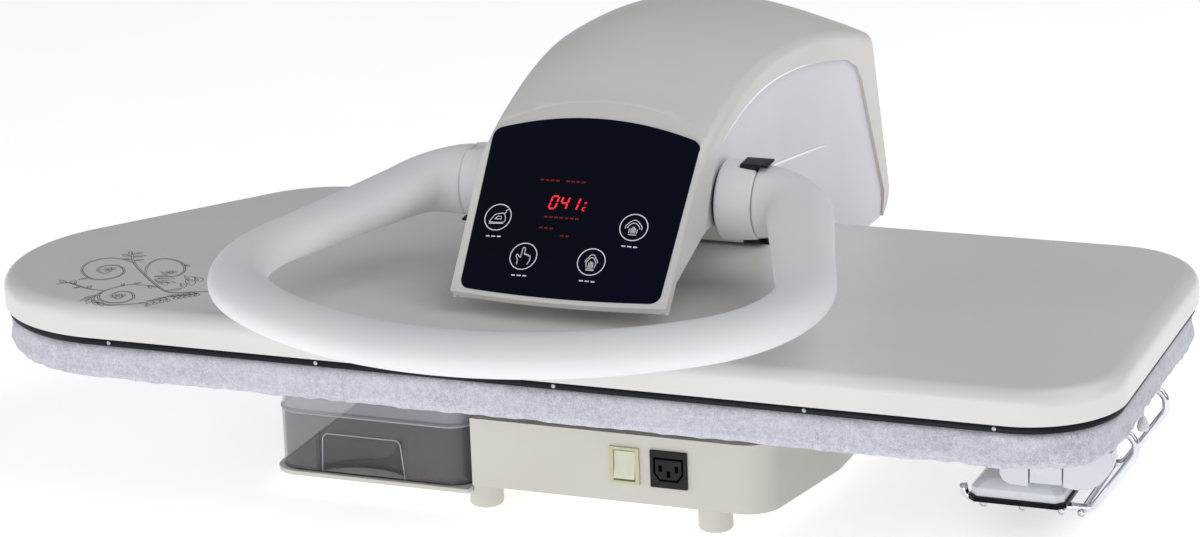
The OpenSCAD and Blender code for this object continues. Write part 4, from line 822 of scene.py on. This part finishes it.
def ribbon(shape, points, width, place, closed=False, slim=1.0):
    """Lays a flat stroke along the points. A slim below 1 narrows both its ends."""
    count, rims = len(points), []
    for i, (u, s) in enumerate(points):
        before = points[i - 1] if i or closed else points[0]
        after = points[(i + 1) % count] if i + 1 < count or closed else points[-1]
        ahead = Vector((after[0] - before[0], after[1] - before[1])).normalized()
        half = width / 2 * (slim + (1 - slim) * math.sin(math.pi * i / (count - 1)))
        rims.append([shape.verts.new(place(u - k * half * ahead.y, s + k * half * ahead.x)) for k in (1, -1)])
    for a, b in around(rims) if closed else zip(rims, rims[1:]):
        shape.faces.new((a[1], b[1], b[0], a[0]))


def ink(shape, name, finish, on, thickness=0.1):
    layer = through(as_mesh(shape, name, smooth=False), ("SOLIDIFY", {"thickness": thickness / 1000, "offset": 1.0}))
    new_piece(name, layer, on, finish, stands_in=False)


def on_glass(u, s):
    return on_panel(u, s, bow(u, FACE_RISE) + INK_LIFT)


def dashes(shape, u, s, count, pitch, length, width):
    for k in range(count):
        ribbon(shape, [(u + pitch * k, s), (u + pitch * k + length, s)], width, on_glass)


def figure(shape, segments, u, s, wide, high, stroke):
    for name in segments:
        x0, y0, x1, y1 = SEGMENTS[name]
        ends = [(x0 + (x1 - x0) * t, y0 + (y1 - y0) * t) for t in (0.1, 0.9)]
        ribbon(shape, [(u + x * wide + y * high * FIGURE_LEAN, s + y * high) for x, y in ends], stroke, on_glass)


def lamp_finish(name, tone, drift, strength):
    return moulded(name, tone, drift, (0.3, 0.4), 400.0, 0.05, Emission_Color=tint(tone), Emission_Strength=strength)


signs = bmesh.new()
for (u0, s0), lines in SIGNS.items():
    ribbon(signs, ring_line(u0, s0, RING_R), 0.8, on_glass, closed=True)
    for line in lines:
        smooth = flowing(line, 4) if len(line) > 5 else line
        ribbon(signs, [(u0 + u, s0 + s) for u, s in smooth], SIGN_LINE, on_glass)
    dashes(signs, u0 - 6.7, s0 - DASH_DROP, 3, 5, 3.4, 1.1)
sign_white = moulded("sign_white", (236, 238, 242), (228, 230, 236), (0.3, 0.42), 400.0, 0.05)
ink(signs, "panel_signs", sign_white, "control_glass")

lamps = bmesh.new()
for k, segments in enumerate(("abcdef", "fgbc", "bc")):
    figure(lamps, segments, FIGURE_X + FIGURE_PITCH * k, FIGURE_Z, 5.6, 11.2, 1.35)
figure(lamps, "gde", 4.6, FIGURE_Z, 2.4, 6.0, 0.7)
ribbon(lamps, ring_line(6.4, 81.2, 0.8, 12), 0.45, on_glass, closed=True)
lamp_red = lamp_finish("lamp_red", (232, 30, 40), (210.16, 26.09, 35.2), 1.3)
ink(lamps, "display_figures", lamp_red, "control_glass")

faint = bmesh.new()
for u, s, count in ((-27, 66.5, 7), (-29, 56.5, 3), (-9, 50.5, 2), (-38, 99.5, 4), (-15, 99.5, 4)):
    dashes(faint, u, s, count, 4.6, 3.2, 1.5)
lamp_faint = lamp_finish("lamp_faint", (110, 16, 24), (98.99, 13.33, 20.62), 0.12)
ink(faint, "display_faint_marks", lamp_faint, "control_glass")
print("signs, figures and faint marks laid on the glass")

# %% [markdown]
# Each side of the head gets two painted highlights: thin bright strokes that glow a little, along the step that crosses
# the panel and along the upper edge of the window round it. They are laid like the signs and slim at their ends.

# %% Painted highlights on the edges of the side panels
STEP_Y, STEP_Z, STEP_FALL, STEP_DEPTH = 64, 233.2, 0.1066, 2.2
PROUD, OVER_WINDOW = 0.12, 1.2
# Near white with a faint glow: the finish of the painted highlight strokes.
painted_edge_highlight = moulded("painted_edge_highlight", (254, 254, 254), (252, 252, 253), (0.2, 0.3), 400.0, 0.02, Coat_Weight=0.4,
                     Emission_Color=(1, 1, 1, 1), Emission_Strength=0.12)
step_line = [(y, STEP_Z - STEP_FALL * (y - STEP_Y)) for y in range(66, 250, 8)]
window_line = [(y, window_top(y) + OVER_WINDOW) for y in range(4, 205, 8)]


def on_side(side, depth):
    return lambda y, z: on_head(side * (head_half(y) - depth + PROUD), y, z)


for side, panel in ((1, "right_side_panel"), (-1, "left_side_panel")):
    # The painted highlight strokes of this side: one along the step, one along the window's upper edge.
    painted_highlight = bmesh.new()
    ribbon(painted_highlight, step_line, 1.9, on_side(side, STEP_DEPTH), slim=0.5)
    ribbon(painted_highlight, window_line, 1.6, on_side(side, 0), slim=0.3)
    ink(painted_highlight, panel + "_shine", painted_edge_highlight, panel)
print("shining edges on both side panels")

# %% [markdown]
# A printed scroll of acanthus leaves decorates the cover, an old pattern found on furniture and ironwork. Spirals and
# leaf tips are drawn as points in plan, smoothed, and laid on the cover, so a stroke that reaches the rolled edge
# bends down with it. Each stem is two fine lines side by side.

# %% Scroll on the cover
STEMS = [
    [(-262, -128), (-280.7, -135.6), (-295.8, -142.5), (-308.1, -145.9), (-323, -135.7), (-350.4, -109.2),
     (-377.4, -79.5), (-392, -57.1)],
    [(-350.4, -109.2), (-361.5, -86.4), (-363.9, -66.2), (-353.6, -60.4), (-337.1, -68.7), (-324.8, -87.6),
     (-324.3, -102.1), (-332.6, -104.4), (-344.7, -93)],
    [(-377.4, -79.5), (-394, -71.2), (-410.1, -73.3), (-417.7, -90.4), (-411.5, -111), (-394, -128.3), (-379.7, -128),
     (-372.4, -115.1), (-375.6, -101.3), (-387.6, -89.7), (-399.2, -92.9), (-399.5, -105.5), (-388.2, -112.8),
     (-386.4, -105)],
    [(-336.8, -134.4), (-349.9, -134.4), (-358.9, -144), (-364.5, -159.8), (-359, -176), (-346.8, -184),
     (-333.9, -181.1), (-330.3, -168.2), (-340.1, -154.6), (-350.7, -154.7), (-352.1, -167.1), (-342.6, -173.6),
     (-340.2, -166)],
    [(-364.5, -159.8), (-364.8, -174), (-358, -185), (-346, -189.5), (-336.4, -188.5), (-327.1, -184.8),
     (-316.5, -178.4)],
    [(-364.5, -155.5), (-374, -156), (-381.7, -154.5), (-397.7, -147.4), (-406.8, -144.1), (-414, -150.8)],
    [(-282.5, -141), (-292.2, -149.3), (-304.3, -157.6), (-314.7, -173)],
    [(-323, -135.7), (-331, -134), (-336.8, -134.4)],
]
SPRIGS = [
    ((-398.5, -47.4), (-392, -57.1), 0.16), ((-386, -48), (-391, -57), 0.2), ((-378, -57), (-388, -63), 0.2),
    ((-401, -58), (-390, -62), 0.18), ((-374, -68), (-382, -73), 0.18), ((-319.2, -129.6), (-338, -116.7), 0.16),
    ((-316, -120), (-332, -122), 0.18), ((-322, -110), (-338, -113), 0.2), ((-331, -106), (-343, -109), 0.2),
    ((-303, -113), (-318, -100.4), 0.2), ((-298.9, -124), (-312, -108), 0.2), ((-296, -112), (-308, -101), 0.2),
    ((-302, -131), (-311, -121), 0.2), ((-314, -143), (-303, -133), 0.16), ((-352, -192), (-362, -182), 0.2),
    ((-345.5, -192), (-356, -186), 0.2), ((-362, -191), (-366, -180), 0.22), ((-372, -178), (-365, -170), 0.2),
    ((-371, -187), (-366, -176), 0.2), ((-405, -136), (-398, -147), 0.2), ((-417, -140), (-407, -144), 0.2),
    ((-394, -157), (-390, -151), 0.2), ((-383, -146), (-380, -154), 0.2), ((-345, -127), (-349, -134), 0.2),
    ((-358, -133), (-356, -140), 0.2), ((-329, -140), (-335, -134), 0.18), ((-326, -75), (-333, -72), 0.2),
    ((-402, -134), (-396, -127), 0.18), ((-384, -71), (-394, -71), 0.16)]
for k in range(9):
    x, y = -284 - 3.4 * k, -142.5 - 3.2 * k - (0.16 * k * k if k > 4 else 0)
    SPRIGS += [((x - 8.5, y + 1.5), (x, y), 0.24), ((x + 3.2, y - 7.8), (x, y), 0.24)]
ROSETTES = ((-390, -101), (-345, -165), (-334, -95))
LEAF_CURL, PETALS, PRINT_LIFT = 0.3, 7, 0.04


def on_cover(x, y):
    inward = max(0, min((p.x - x) * n.x + (p.y - y) * n.y for p, n in OUTLINE))
    return row(x, y, COVER_TOP - EDGE_R + PRINT_LIFT + math.sqrt(EDGE_R ** 2 - max(0, EDGE_R - inward) ** 2))


def beside(line, gap):
    """The line moved sideways by gap."""
    moved = []
    for i, (x, y) in enumerate(line):
        (x0, y0), (x1, y1) = line[max(i - 1, 0)], line[min(i + 1, len(line) - 1)]
        length = math.hypot(x1 - x0, y1 - y0) or 1
        moved.append((x - gap * (y1 - y0) / length, y + gap * (x1 - x0) / length))
    return moved


def leaf(shape, tip, root, belly, width, slim):
    """Draws both edges of a pointed leaf, from its root to its tip."""
    (x0, y0), (x1, y1) = root, tip
    dx, dy = x1 - x0, y1 - y0
    for side in (1, -1):
        edge = []
        for t in (k / 8 for k in range(9)):
            bend = side * belly * math.sin(math.pi * t) + LEAF_CURL * t * (1 - t)
            edge.append((x0 + dx * t - dy * bend, y0 + dy * t + dx * bend))
        ribbon(shape, edge, width, on_cover, slim=slim)


scroll = bmesh.new()
for stem in STEMS:
    line = flowing(stem, 7)
    for gap, width in ((0.8, 0.85), (-0.8, 0.6)):
        ribbon(scroll, beside(line, gap), width, on_cover, slim=0.4)
for tip, root, belly in SPRIGS:
    leaf(scroll, tip, root, belly, 0.62, 0.4)
    ribbon(scroll, [root, tuple((a + 2 * b) / 3 for a, b in zip(root, tip))], 0.45, on_cover)
for x, y in ROSETTES:
    for tip, root in zip(ring_line(x, y, 6.4, PETALS), ring_line(x, y, 1, PETALS)):
        leaf(scroll, tip, root, 0.2, 0.42, 0.5)
scroll_grey = moulded("scroll_grey", (84, 82, 86), (62, 60, 64), (0.4, 0.5), 400.0, 0.05)
ink(scroll, "cover_scroll", scroll_grey, "upper_cover", 0.06)
print("scroll:", len(STEMS), "stems and", len(SPRIGS), "leaves")

# %% [markdown]
# The handle wears a soft foam tube: round where it leaves the grip socket, flatter round the bend and slim along the
# front. It is a sweep of ovals along the tube's own path, and the oval's size eases from one number to the next.

# %% Foam grip
HANDLE_Y, HANDLE_Z, HANDLE_TILT, GRIP_FROM = 10.0, 230.3, math.radians(3.4), 130.0
RUNS = ((45.0, 70.0, 0, 1), (0.0, 155.0, 1, 2), (116.0, 72.0, 2, 2), (None, 38.0, 2, 2))
OVALS = ((0.0, 63, 63), (1.0, 56, 44), (1.5, 51.2, 37.4), (2.0, 48, 33))
TUBE_HOLE, END_FACE, END_ROUND, RING_STEP = 20.6, 58, 61.4, 4


def handle_walk():
    """Half of the path, from the head to the middle of the front: x, y, heading and a share that sets the oval.

    A run is a bend, given by its radius and its angle, or a straight with no radius and a length. The last bend's
    radius is what brings the path to the middle.
    """
    x, y, heading, walk = GRIP_FROM, 0.0, 0.0, []
    for radius, size, low, high in RUNS:
        if radius is None:
            radius = x / math.sin(math.radians(size))
        length = radius * math.radians(size) if radius else size
        count = round(length / RING_STEP)
        x0, y0, start = x, y, heading
        for k in range(1, count + 1):
            walk.append((x, y, heading, low + (high - low) * (k - 1) / count))
            if radius:
                heading = start - math.radians(size) * k / count
                x = x0 + radius * (math.sin(start) - math.sin(heading))
                y = y0 - radius * (math.cos(start) - math.cos(heading))
            else:
                x, y = x0 + size * k / count * math.cos(start), y0 + size * k / count * math.sin(start)
    return walk + [(0.0, y, heading, 2)]


def oval_size(part):
    for (s0, w0, h0), (s1, w1, h1) in zip(OVALS, OVALS[1:]):
        if part <= s1:
            t = (part - s0) / (s1 - s0)
            return w0 + (w1 - w0) * t, h0 + (h1 - h0) * t


def handle_ring(spot, wide, high, side):
    """An oval round the tube, on the right half of the handle or, with side -1, on the left one."""
    x, y, heading, _ = spot
    return [tilted(side * (x - wide * out * math.sin(heading)), HANDLE_Y, HANDLE_Z, HANDLE_TILT,
                   y + wide * out * math.cos(heading), high * up) for out, up in ring_line(0, 0, 0.5, 40)]


walk = handle_walk()
sizes = [oval_size(spot[3]) for spot in walk]
last = len(walk) - 1
eased = [[sum(sizes[max(0, min(last, i + k))][axis] for k in range(-4, 5)) / 9 for axis in (0, 1)]
         for i in range(len(walk))]
ovals = [(walk[0], TUBE_HOLE, TUBE_HOLE), (walk[0], END_FACE, END_FACE),
         ((GRIP_FROM + 0.9, 0, 0, 0), END_ROUND, END_ROUND),
         *((spot, w, h) for spot, (w, h) in zip(walk[1:], eased[1:]))]
rings = [handle_ring(*oval, 1) for oval in ovals] + [handle_ring(*oval, -1) for oval in ovals[-2::-1]]
foam = new_piece("foam_grip_skin", skinned(rings, "foam"), "foam_grip")
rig.padded(foam, fill=1.0)
print("foam grip rings:", len(rings))

# %% [markdown]
# The board wears a brushed cotton cover over a foam pad. Its hem is gathered by a cord, so the lower edge runs in
# small waves with fine pleats, strongest round the ends. The cover is made as rings, like the cover above, then every
# point is moved by smooth noise: long noise for the sag of the hem, short noise for pleats.

# %% Pad and ironing cloth
FINE_LINE = measured_outline(2.5)
PAD = ((-14.0, 100.8), (-12.4, 101.4), (-12.2, 103), (-12.2, 111.6), (-6.7, 112), (-6.5, 113), (-6.5, 118),
       (-9, 120.8), (-14.5, 123.2), (-40, 123.5))
HEM = ((-12.6, 96.9), (-11.4, 95.5), (-9.6, 94.9), (-7.8, 95.4), (-6.0, 97.4), (-4.7, 100.4), (-4.2, 104),
       (-4.6, 108), (-5, 112), (-5, 116), (-5.4, 119.4), (-6.5, 122), (-8.8, 124.1), (-12, 124.9), (-22, 125),
       (-40, 125), (-62, 125))
HEM_TOP, HEM_HEIGHT = 112, 14


def closed_area(ring):
    return abs(sum(a.x * b.y - b.x * a.y for a, b in around(ring))) / 2


def gathered(place, outward, out, z):
    """Where a point of the smooth cover goes once the hem is drawn in."""
    end_share = share(abs(place.x - MID_X), 260, 440)
    hem_share = share(HEM_TOP - z, 0, HEM_HEIGHT) if out > -13 else 0
    side_share = 1.0 if 97 < z < 124.5 and out > -10 else 0
    spot = Vector((place.x, place.y, 0))
    pleat = lumps.noise(spot / 9) * (0.8 + 2.0 * end_share)
    wave = lumps.noise(spot / 31 + Vector((0, 0, 7))) * 1.6 + lumps.noise(spot / 11 + Vector((0, 0, 3))) * 0.9
    crease = lumps.noise(Vector((place.x / 26, place.y / 26, z / 7))) * (0.7 + 1.3 * end_share)
    crease += 0.5 * lumps.noise(Vector((place.x / 60 + z / 20, place.y / 60 - z / 20, 9)))
    moved = out + hem_share * pleat + side_share * crease
    return row(*(place + outward * moved), z + hem_share * wave)


def capped(skin):
    """Closes the top of the cloth with one face, then cuts that into strips across the board."""
    shape = bmesh.new()
    shape.from_mesh(skin)
    rims = [edge for edge in shape.edges if edge.is_boundary and edge.verts[0].co.z > 0.12]
    bmesh.ops.contextual_create(shape, geom=rims)
    for k in range(1, 24):
        caps = [face for face in shape.faces if len(face.verts) > 4]
        region = {part for face in caps for part in (*face.edges, *face.verts)}
        bmesh.ops.bisect_plane(shape, geom=[*caps, *region], plane_co=row(-500 + 42 * k, 0, 0), plane_no=(1, 0, 0))
    bmesh.ops.recalc_face_normals(shape, faces=shape.faces)
    return as_mesh(shape, "cloth")


pad = new_piece("board_pad_foam", skin_along(PAD, "pad"), "board_pad")
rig.padded(pad, fill=0.8)
cloth_skin = capped(skinned([[gathered(p, n, out, z) for p, n in FINE_LINE] for out, z in HEM], "cloth", caps=False))
cloth_mesh = through(cloth_skin, ("SOLIDIFY", {"thickness": 0.0008, "offset": -1.0}))
cloth = new_piece("board_cover_cloth", cloth_mesh, "board_fabric")
cut_cloth = parallel_line(24, 0)
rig.sheet(cloth, flat=(1.048, 0.448), held="gathered", rests_on=["board_pad_foam"], area=closed_area(cut_cloth))
print("cloth:", len(cloth.data.polygons), "faces, cut area", round(closed_area(cut_cloth), 3), "square metres")

# %% [markdown]
# Under the cover lies a mat of needled fibre that keeps the heat in. It is pierced for the plate's standoffs and for
# the steam hose, with a boolean for each hole.

# %% Insulation mat
MAT = ((-23.6, 146.5), (-22.3, 147.6), (-22.3, 154.4), (-23.6, 155.5))
HOLES = ((-48, 122, 11), (48, 122, 11), (-48, 165, 11), (48, 165, 11), (0, 125, 8.5))
mat = skin_along(MAT, "mat")
for x, y, r in HOLES:
    mat = carve(mat, prism(ring_line(x, y, r, 32), 130, 170, on_head))
mat.shade_smooth()
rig.padded(new_piece("insulation_mat", mat, "insulation_blanket"), fill=0.6)
print("holes in the mat:", len(HOLES))

# %% [markdown]
# The rest for the small iron is bent from chrome wire. Two cross wires run down, forward and back up under the board,
# and four straight rods lie across them. A wire is a round section swept along a line whose corners are rounded.

# %% Iron rest
WIRE_R, ROD_Z, CROSS_Y, ROD_X = 3.25, 21.28, (-76, 30), (379, 411, 443, 459)
REST_PATH = ((361, 33.75), (363, 23.75), (466, 23.75), (472, 31.75), (501.05, 73.5), (500.55, 83.5), (495.05, 89.5),
             (385, 89.5))


def soft_corners(points, radius, steps=6):
    """Replaces each corner by a short arc."""
    line = [points[0]]
    for a, b, c in zip(points, points[1:], points[2:]):
        back, ahead = (a - b), (c - b)
        reach = min(radius, back.length * 0.45, ahead.length * 0.45)
        start, end = b + back.normalized() * reach, b + ahead.normalized() * reach
        line += [start.lerp(b, t).lerp(b.lerp(end, t), t) for t in (k / steps for k in range(steps + 1))]
    return line + [points[-1]]


def wire(points, radius, across, sides=16):
    """A closed tube along points that lie in one plane with the normal across."""
    across, rings = Vector(across), []
    for i, point in enumerate(points):
        ahead = (points[min(i + 1, len(points) - 1)] - points[max(i - 1, 0)]).normalized()
        side = ahead.cross(across).normalized()
        rings.append([point + u * across + v * side for u, v in ring_line(0, 0, radius / 1000, sides)])
    return skinned(rings, "wire")


def joined(meshes, name):
    shape = bmesh.new()
    for mesh in meshes:
        shape.from_mesh(mesh)
        bpy.data.meshes.remove(mesh)
    return as_mesh(shape, name)


wires = [wire(soft_corners([row(x, y, z) for x, z in REST_PATH], 0.006), WIRE_R, (0, 1, 0)) for y in CROSS_Y]
wires += [wire([row(x, y, ROD_Z) for y in (-82, -81.6, -60, 0, 35.6, 36)], WIRE_R, (1, 0, 0)) for x in ROD_X]
new_piece("iron_rest_wires", joined(wires, "rest_wires"), "iron_rest")
print("rest wires:", len(wires))

# %% [markdown]
# The water tank is a tub of smoked plastic with a pocket for the fingers in its front. The pocket is a curved bay in
# plan with a roof that slopes down to the back, so it is one prism cut by another. The tub gets a wall by taking a
# smaller copy out of it, less the pocket grown by the wall's thickness. Fine beads draw its rim, its foot and the
# mouth of the pocket: the light beads at the rim and the pocket's mouth are painted highlights, the foot bead a dark
# line.

# %% Water tank
TANK_X, TANK_Y, TANK_W, TANK_D, TANK_R = -210.5, -161.0, 177.0, 232.0, 22.0
TANK_FOOT, TANK_TOP, TANK_WALL = 19.0, 70.0, 2.2
POCKET_MOUTH = ((-167, 20), (-165.2, 50.5), (-162, 53.5), (-97.5, 53.5), (-94.6, 50.5), (-91.6, 20))


def tank_plan(inset):
    left, front = TANK_X + TANK_R, TANK_Y + TANK_R
    right, back = TANK_X + TANK_W - TANK_R, TANK_Y + TANK_D - TANK_R
    line = []
    for k, corner in enumerate(((right, back), (left, back), (left, front), (right, front))):
        line += arc(*corner, TANK_R - inset, range(90 * k, 90 * k + 91, 9))
    return line


def finger_bay(grow):
    bay = [(-172 - grow, -175), (-172 - grow, -160.5), (-168 - grow, -157 + grow), (-163, -152.5 + grow),
           (-152, -146 + grow), (-138, -142.5 + grow), (-122, -142.5 + grow), (-108, -146 + grow),
           (-98, -151.5 + grow), (-93 + grow, -157 + grow), (-92 + grow, -175)]
    roof = [(-178, 0), (-178, 53.5 + grow), (-160, 53.5 + grow), (-140 + grow, 43.5 + grow), (-120, 43.5 + grow),
            (-120, 0)]
    return carve(prism(bay, 0, 60, row), prism(roof, -185, -80, lambda y, z, x: row(x, y, z)), "INTERSECT")


def bead(name, inset, low, high, finish):
    steps = ((inset, low), (inset, high), (inset + 0.7, high), (inset + 0.7, low))
    rings = [[row(x, y, z) for x, y in tank_plan(step)] for step, z in steps]
    new_piece(name, skinned(rings, name, loop=True), "water_tank", finish, stands_in=False)


inside = prism(tank_plan(TANK_WALL), TANK_FOOT + TANK_WALL, TANK_TOP + 5, row)
tub = carve(prism(tank_plan(0), TANK_FOOT, TANK_TOP, row), carve(inside, finger_bay(TANK_WALL)))
tub = carve(tub, finger_bay(0))
moulding("tank_tub", tub, "water_tank", 0.9, angle=34)
mouth = soft_corners([row(x, TANK_Y - 0.1, z) for x, z in POCKET_MOUTH], 0.004)
# The pocket and rim beads wear a light finish: painted highlights along the pocket's mouth and the tank's rim.
new_piece("tank_pocket_painted_highlight", wire(mouth, 0.55, (0, 1, 0), 10), "water_tank", FINISH["painted_rim_highlight"], stands_in=False)
bead("tank_rim_painted_highlight", -0.25, 68.9, 69.9, FINISH["painted_rim_highlight"])
bead("tank_foot_bead", -0.25, 19.0, 20.2, FINISH["smoked_rim"])
print("tank faces:", len(tub.polygons))

# %% [markdown]
# Small things that repeat are left to geometry nodes: the five screws of the rim and the hundreds of stitches of the
# hem. Each tree takes its sizes as named inputs, so one number changes every screw or stitch. The result is turned
# into a plain mesh, because an export knows nothing of instances.

# %% Screws and stitches by geometry nodes
SCREW_X, SCREW_Y, SCREW_Z = (-340, -149, 60, 269, 420), -197.6, 128.65
SEAM_OUT, SEAM_Z = -4.4, 102.4


def new_tree(name, inputs):
    tree = bpy.data.node_groups.new(name, "GeometryNodeTree")
    for way in ("INPUT", "OUTPUT"):
        tree.interface.new_socket(name="Geometry", in_out=way, socket_type="NodeSocketGeometry")
    for label, kind in (*inputs, ("Finish", "Material")):
        tree.interface.new_socket(name=label, in_out="INPUT", socket_type="NodeSocket" + kind)
    return tree, tree.nodes.new("NodeGroupInput").outputs, tree.nodes.new("NodeGroupOutput").inputs


def all_of(tree, *parts):
    """Joins the first outputs of some nodes."""
    join = tree.nodes.new("GeometryNodeJoinGeometry")
    for part in parts:
        tree.links.new(part[0], join.inputs[0])
    return join.outputs[0]


def close_tree(tree, given, out, copies):
    """Sets a copy on every point, makes the copies real and gives them their finish."""
    spread = node(tree, "GeometryNodeInstanceOnPoints", copies)
    real = node(tree, "GeometryNodeRealizeInstances", {"Geometry": spread[0]})
    dressed = node(tree, "GeometryNodeSetMaterial", {"Geometry": real[0], "Material": given["Finish"]})
    tree.links.new(dressed[0], out[0])


def grown(points, edges, tree, values):
    """Runs a tree over some points and returns the plain result."""
    mesh = bpy.data.meshes.new("points")
    mesh.from_pydata(points, edges, [])
    inputs = {item.identifier: values[item.name] for item in tree.interface.items_tree if item.name in values}
    return through(mesh, ("NODES", {"node_group": tree, **inputs}))


screws, given, out = new_tree("rim_screw_heads", (("Radius", "Float"), ("Height", "Float")))
barrel = node(screws, "GeometryNodeMeshCylinder", {"Vertices": 28, "Radius": given["Radius"], "Depth": given["Height"]})
dome = node(screws, "GeometryNodeMeshCone", {"Vertices": 28, "Radius Top": 0.0011, "Radius Bottom": given["Radius"],
                                             "Depth": 0.0005})
raised = node(screws, "GeometryNodeTransform", {"Geometry": dome["Mesh"], "Translation": (0, 0, 0.0006)})
slots = [node(screws, "GeometryNodeMeshCube", {"Size": size})
         for size in ((0.0022, 0.0005, 0.002), (0.0005, 0.0022, 0.002))]
lifted = node(screws, "GeometryNodeTransform", {"Geometry": all_of(screws, *slots), "Translation": (0, 0, 0.0014)})
cut = node(screws, "GeometryNodeMeshBoolean", {"Mesh 1": all_of(screws, barrel, raised), "Mesh 2": lifted[0]},
           operation="DIFFERENCE")
facing = node(screws, "GeometryNodeTransform", {"Geometry": cut["Mesh"], "Rotation": (math.pi / 2, 0, 0)})
close_tree(screws, given, out, {"Points": given["Geometry"], "Instance": facing[0]})
heads = grown([row(x, SCREW_Y, SCREW_Z) for x in SCREW_X], (), screws,
              {"Radius": 0.0018, "Height": 0.0012, "Finish": FINISH["steel"]})
new_piece("rim_screw_heads", heads, "rim_screws")

stitches, given, out = new_tree("hem_stitches", (("Spacing", "Float"), ("Thread Radius", "Float"),
                                                 ("Stitch Length", "Float")))
line = node(stitches, "GeometryNodeMeshToCurve", {"Mesh": given["Geometry"]})
even = node(stitches, "GeometryNodeResampleCurve", {"Curve": line[0], "Length": given["Spacing"]}, mode="LENGTH")
along = node(stitches, "GeometryNodeInputTangent")
turned = node(stitches, "FunctionNodeAlignRotationToVector", {"Vector": along[0]}, axis="Z")
thread = node(stitches, "GeometryNodeMeshCylinder", {"Vertices": 6, "Radius": given["Thread Radius"],
                                                     "Depth": given["Stitch Length"]})
close_tree(stitches, given, out, {"Points": even[0], "Instance": thread["Mesh"],
                                  "Rotation": turned[0]})
seam = [gathered(p, n, SEAM_OUT, SEAM_Z) for p, n in FINE_LINE]
thread_grey = moulded("thread_grey", (214, 215, 226), (196, 198, 210), (0.7, 0.9), 2500.0, 0.5)
hem = grown(seam, [(i, (i + 1) % len(seam)) for i in range(len(seam))], stitches,
            {"Spacing": 0.0052, "Thread Radius": 0.0003, "Stitch Length": 0.0034, "Finish": thread_grey})
new_piece("hem_stitches", hem, "board_fabric", thread_grey, stands_in=False)
print("screws:", len(SCREW_X), "hem length in stitches:", len(seam))

# %% Close
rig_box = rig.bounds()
with open("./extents.json", "w") as sizes:
    json.dump([[list(corner) for corner in cad_box], [list(corner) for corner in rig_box]], sizes)
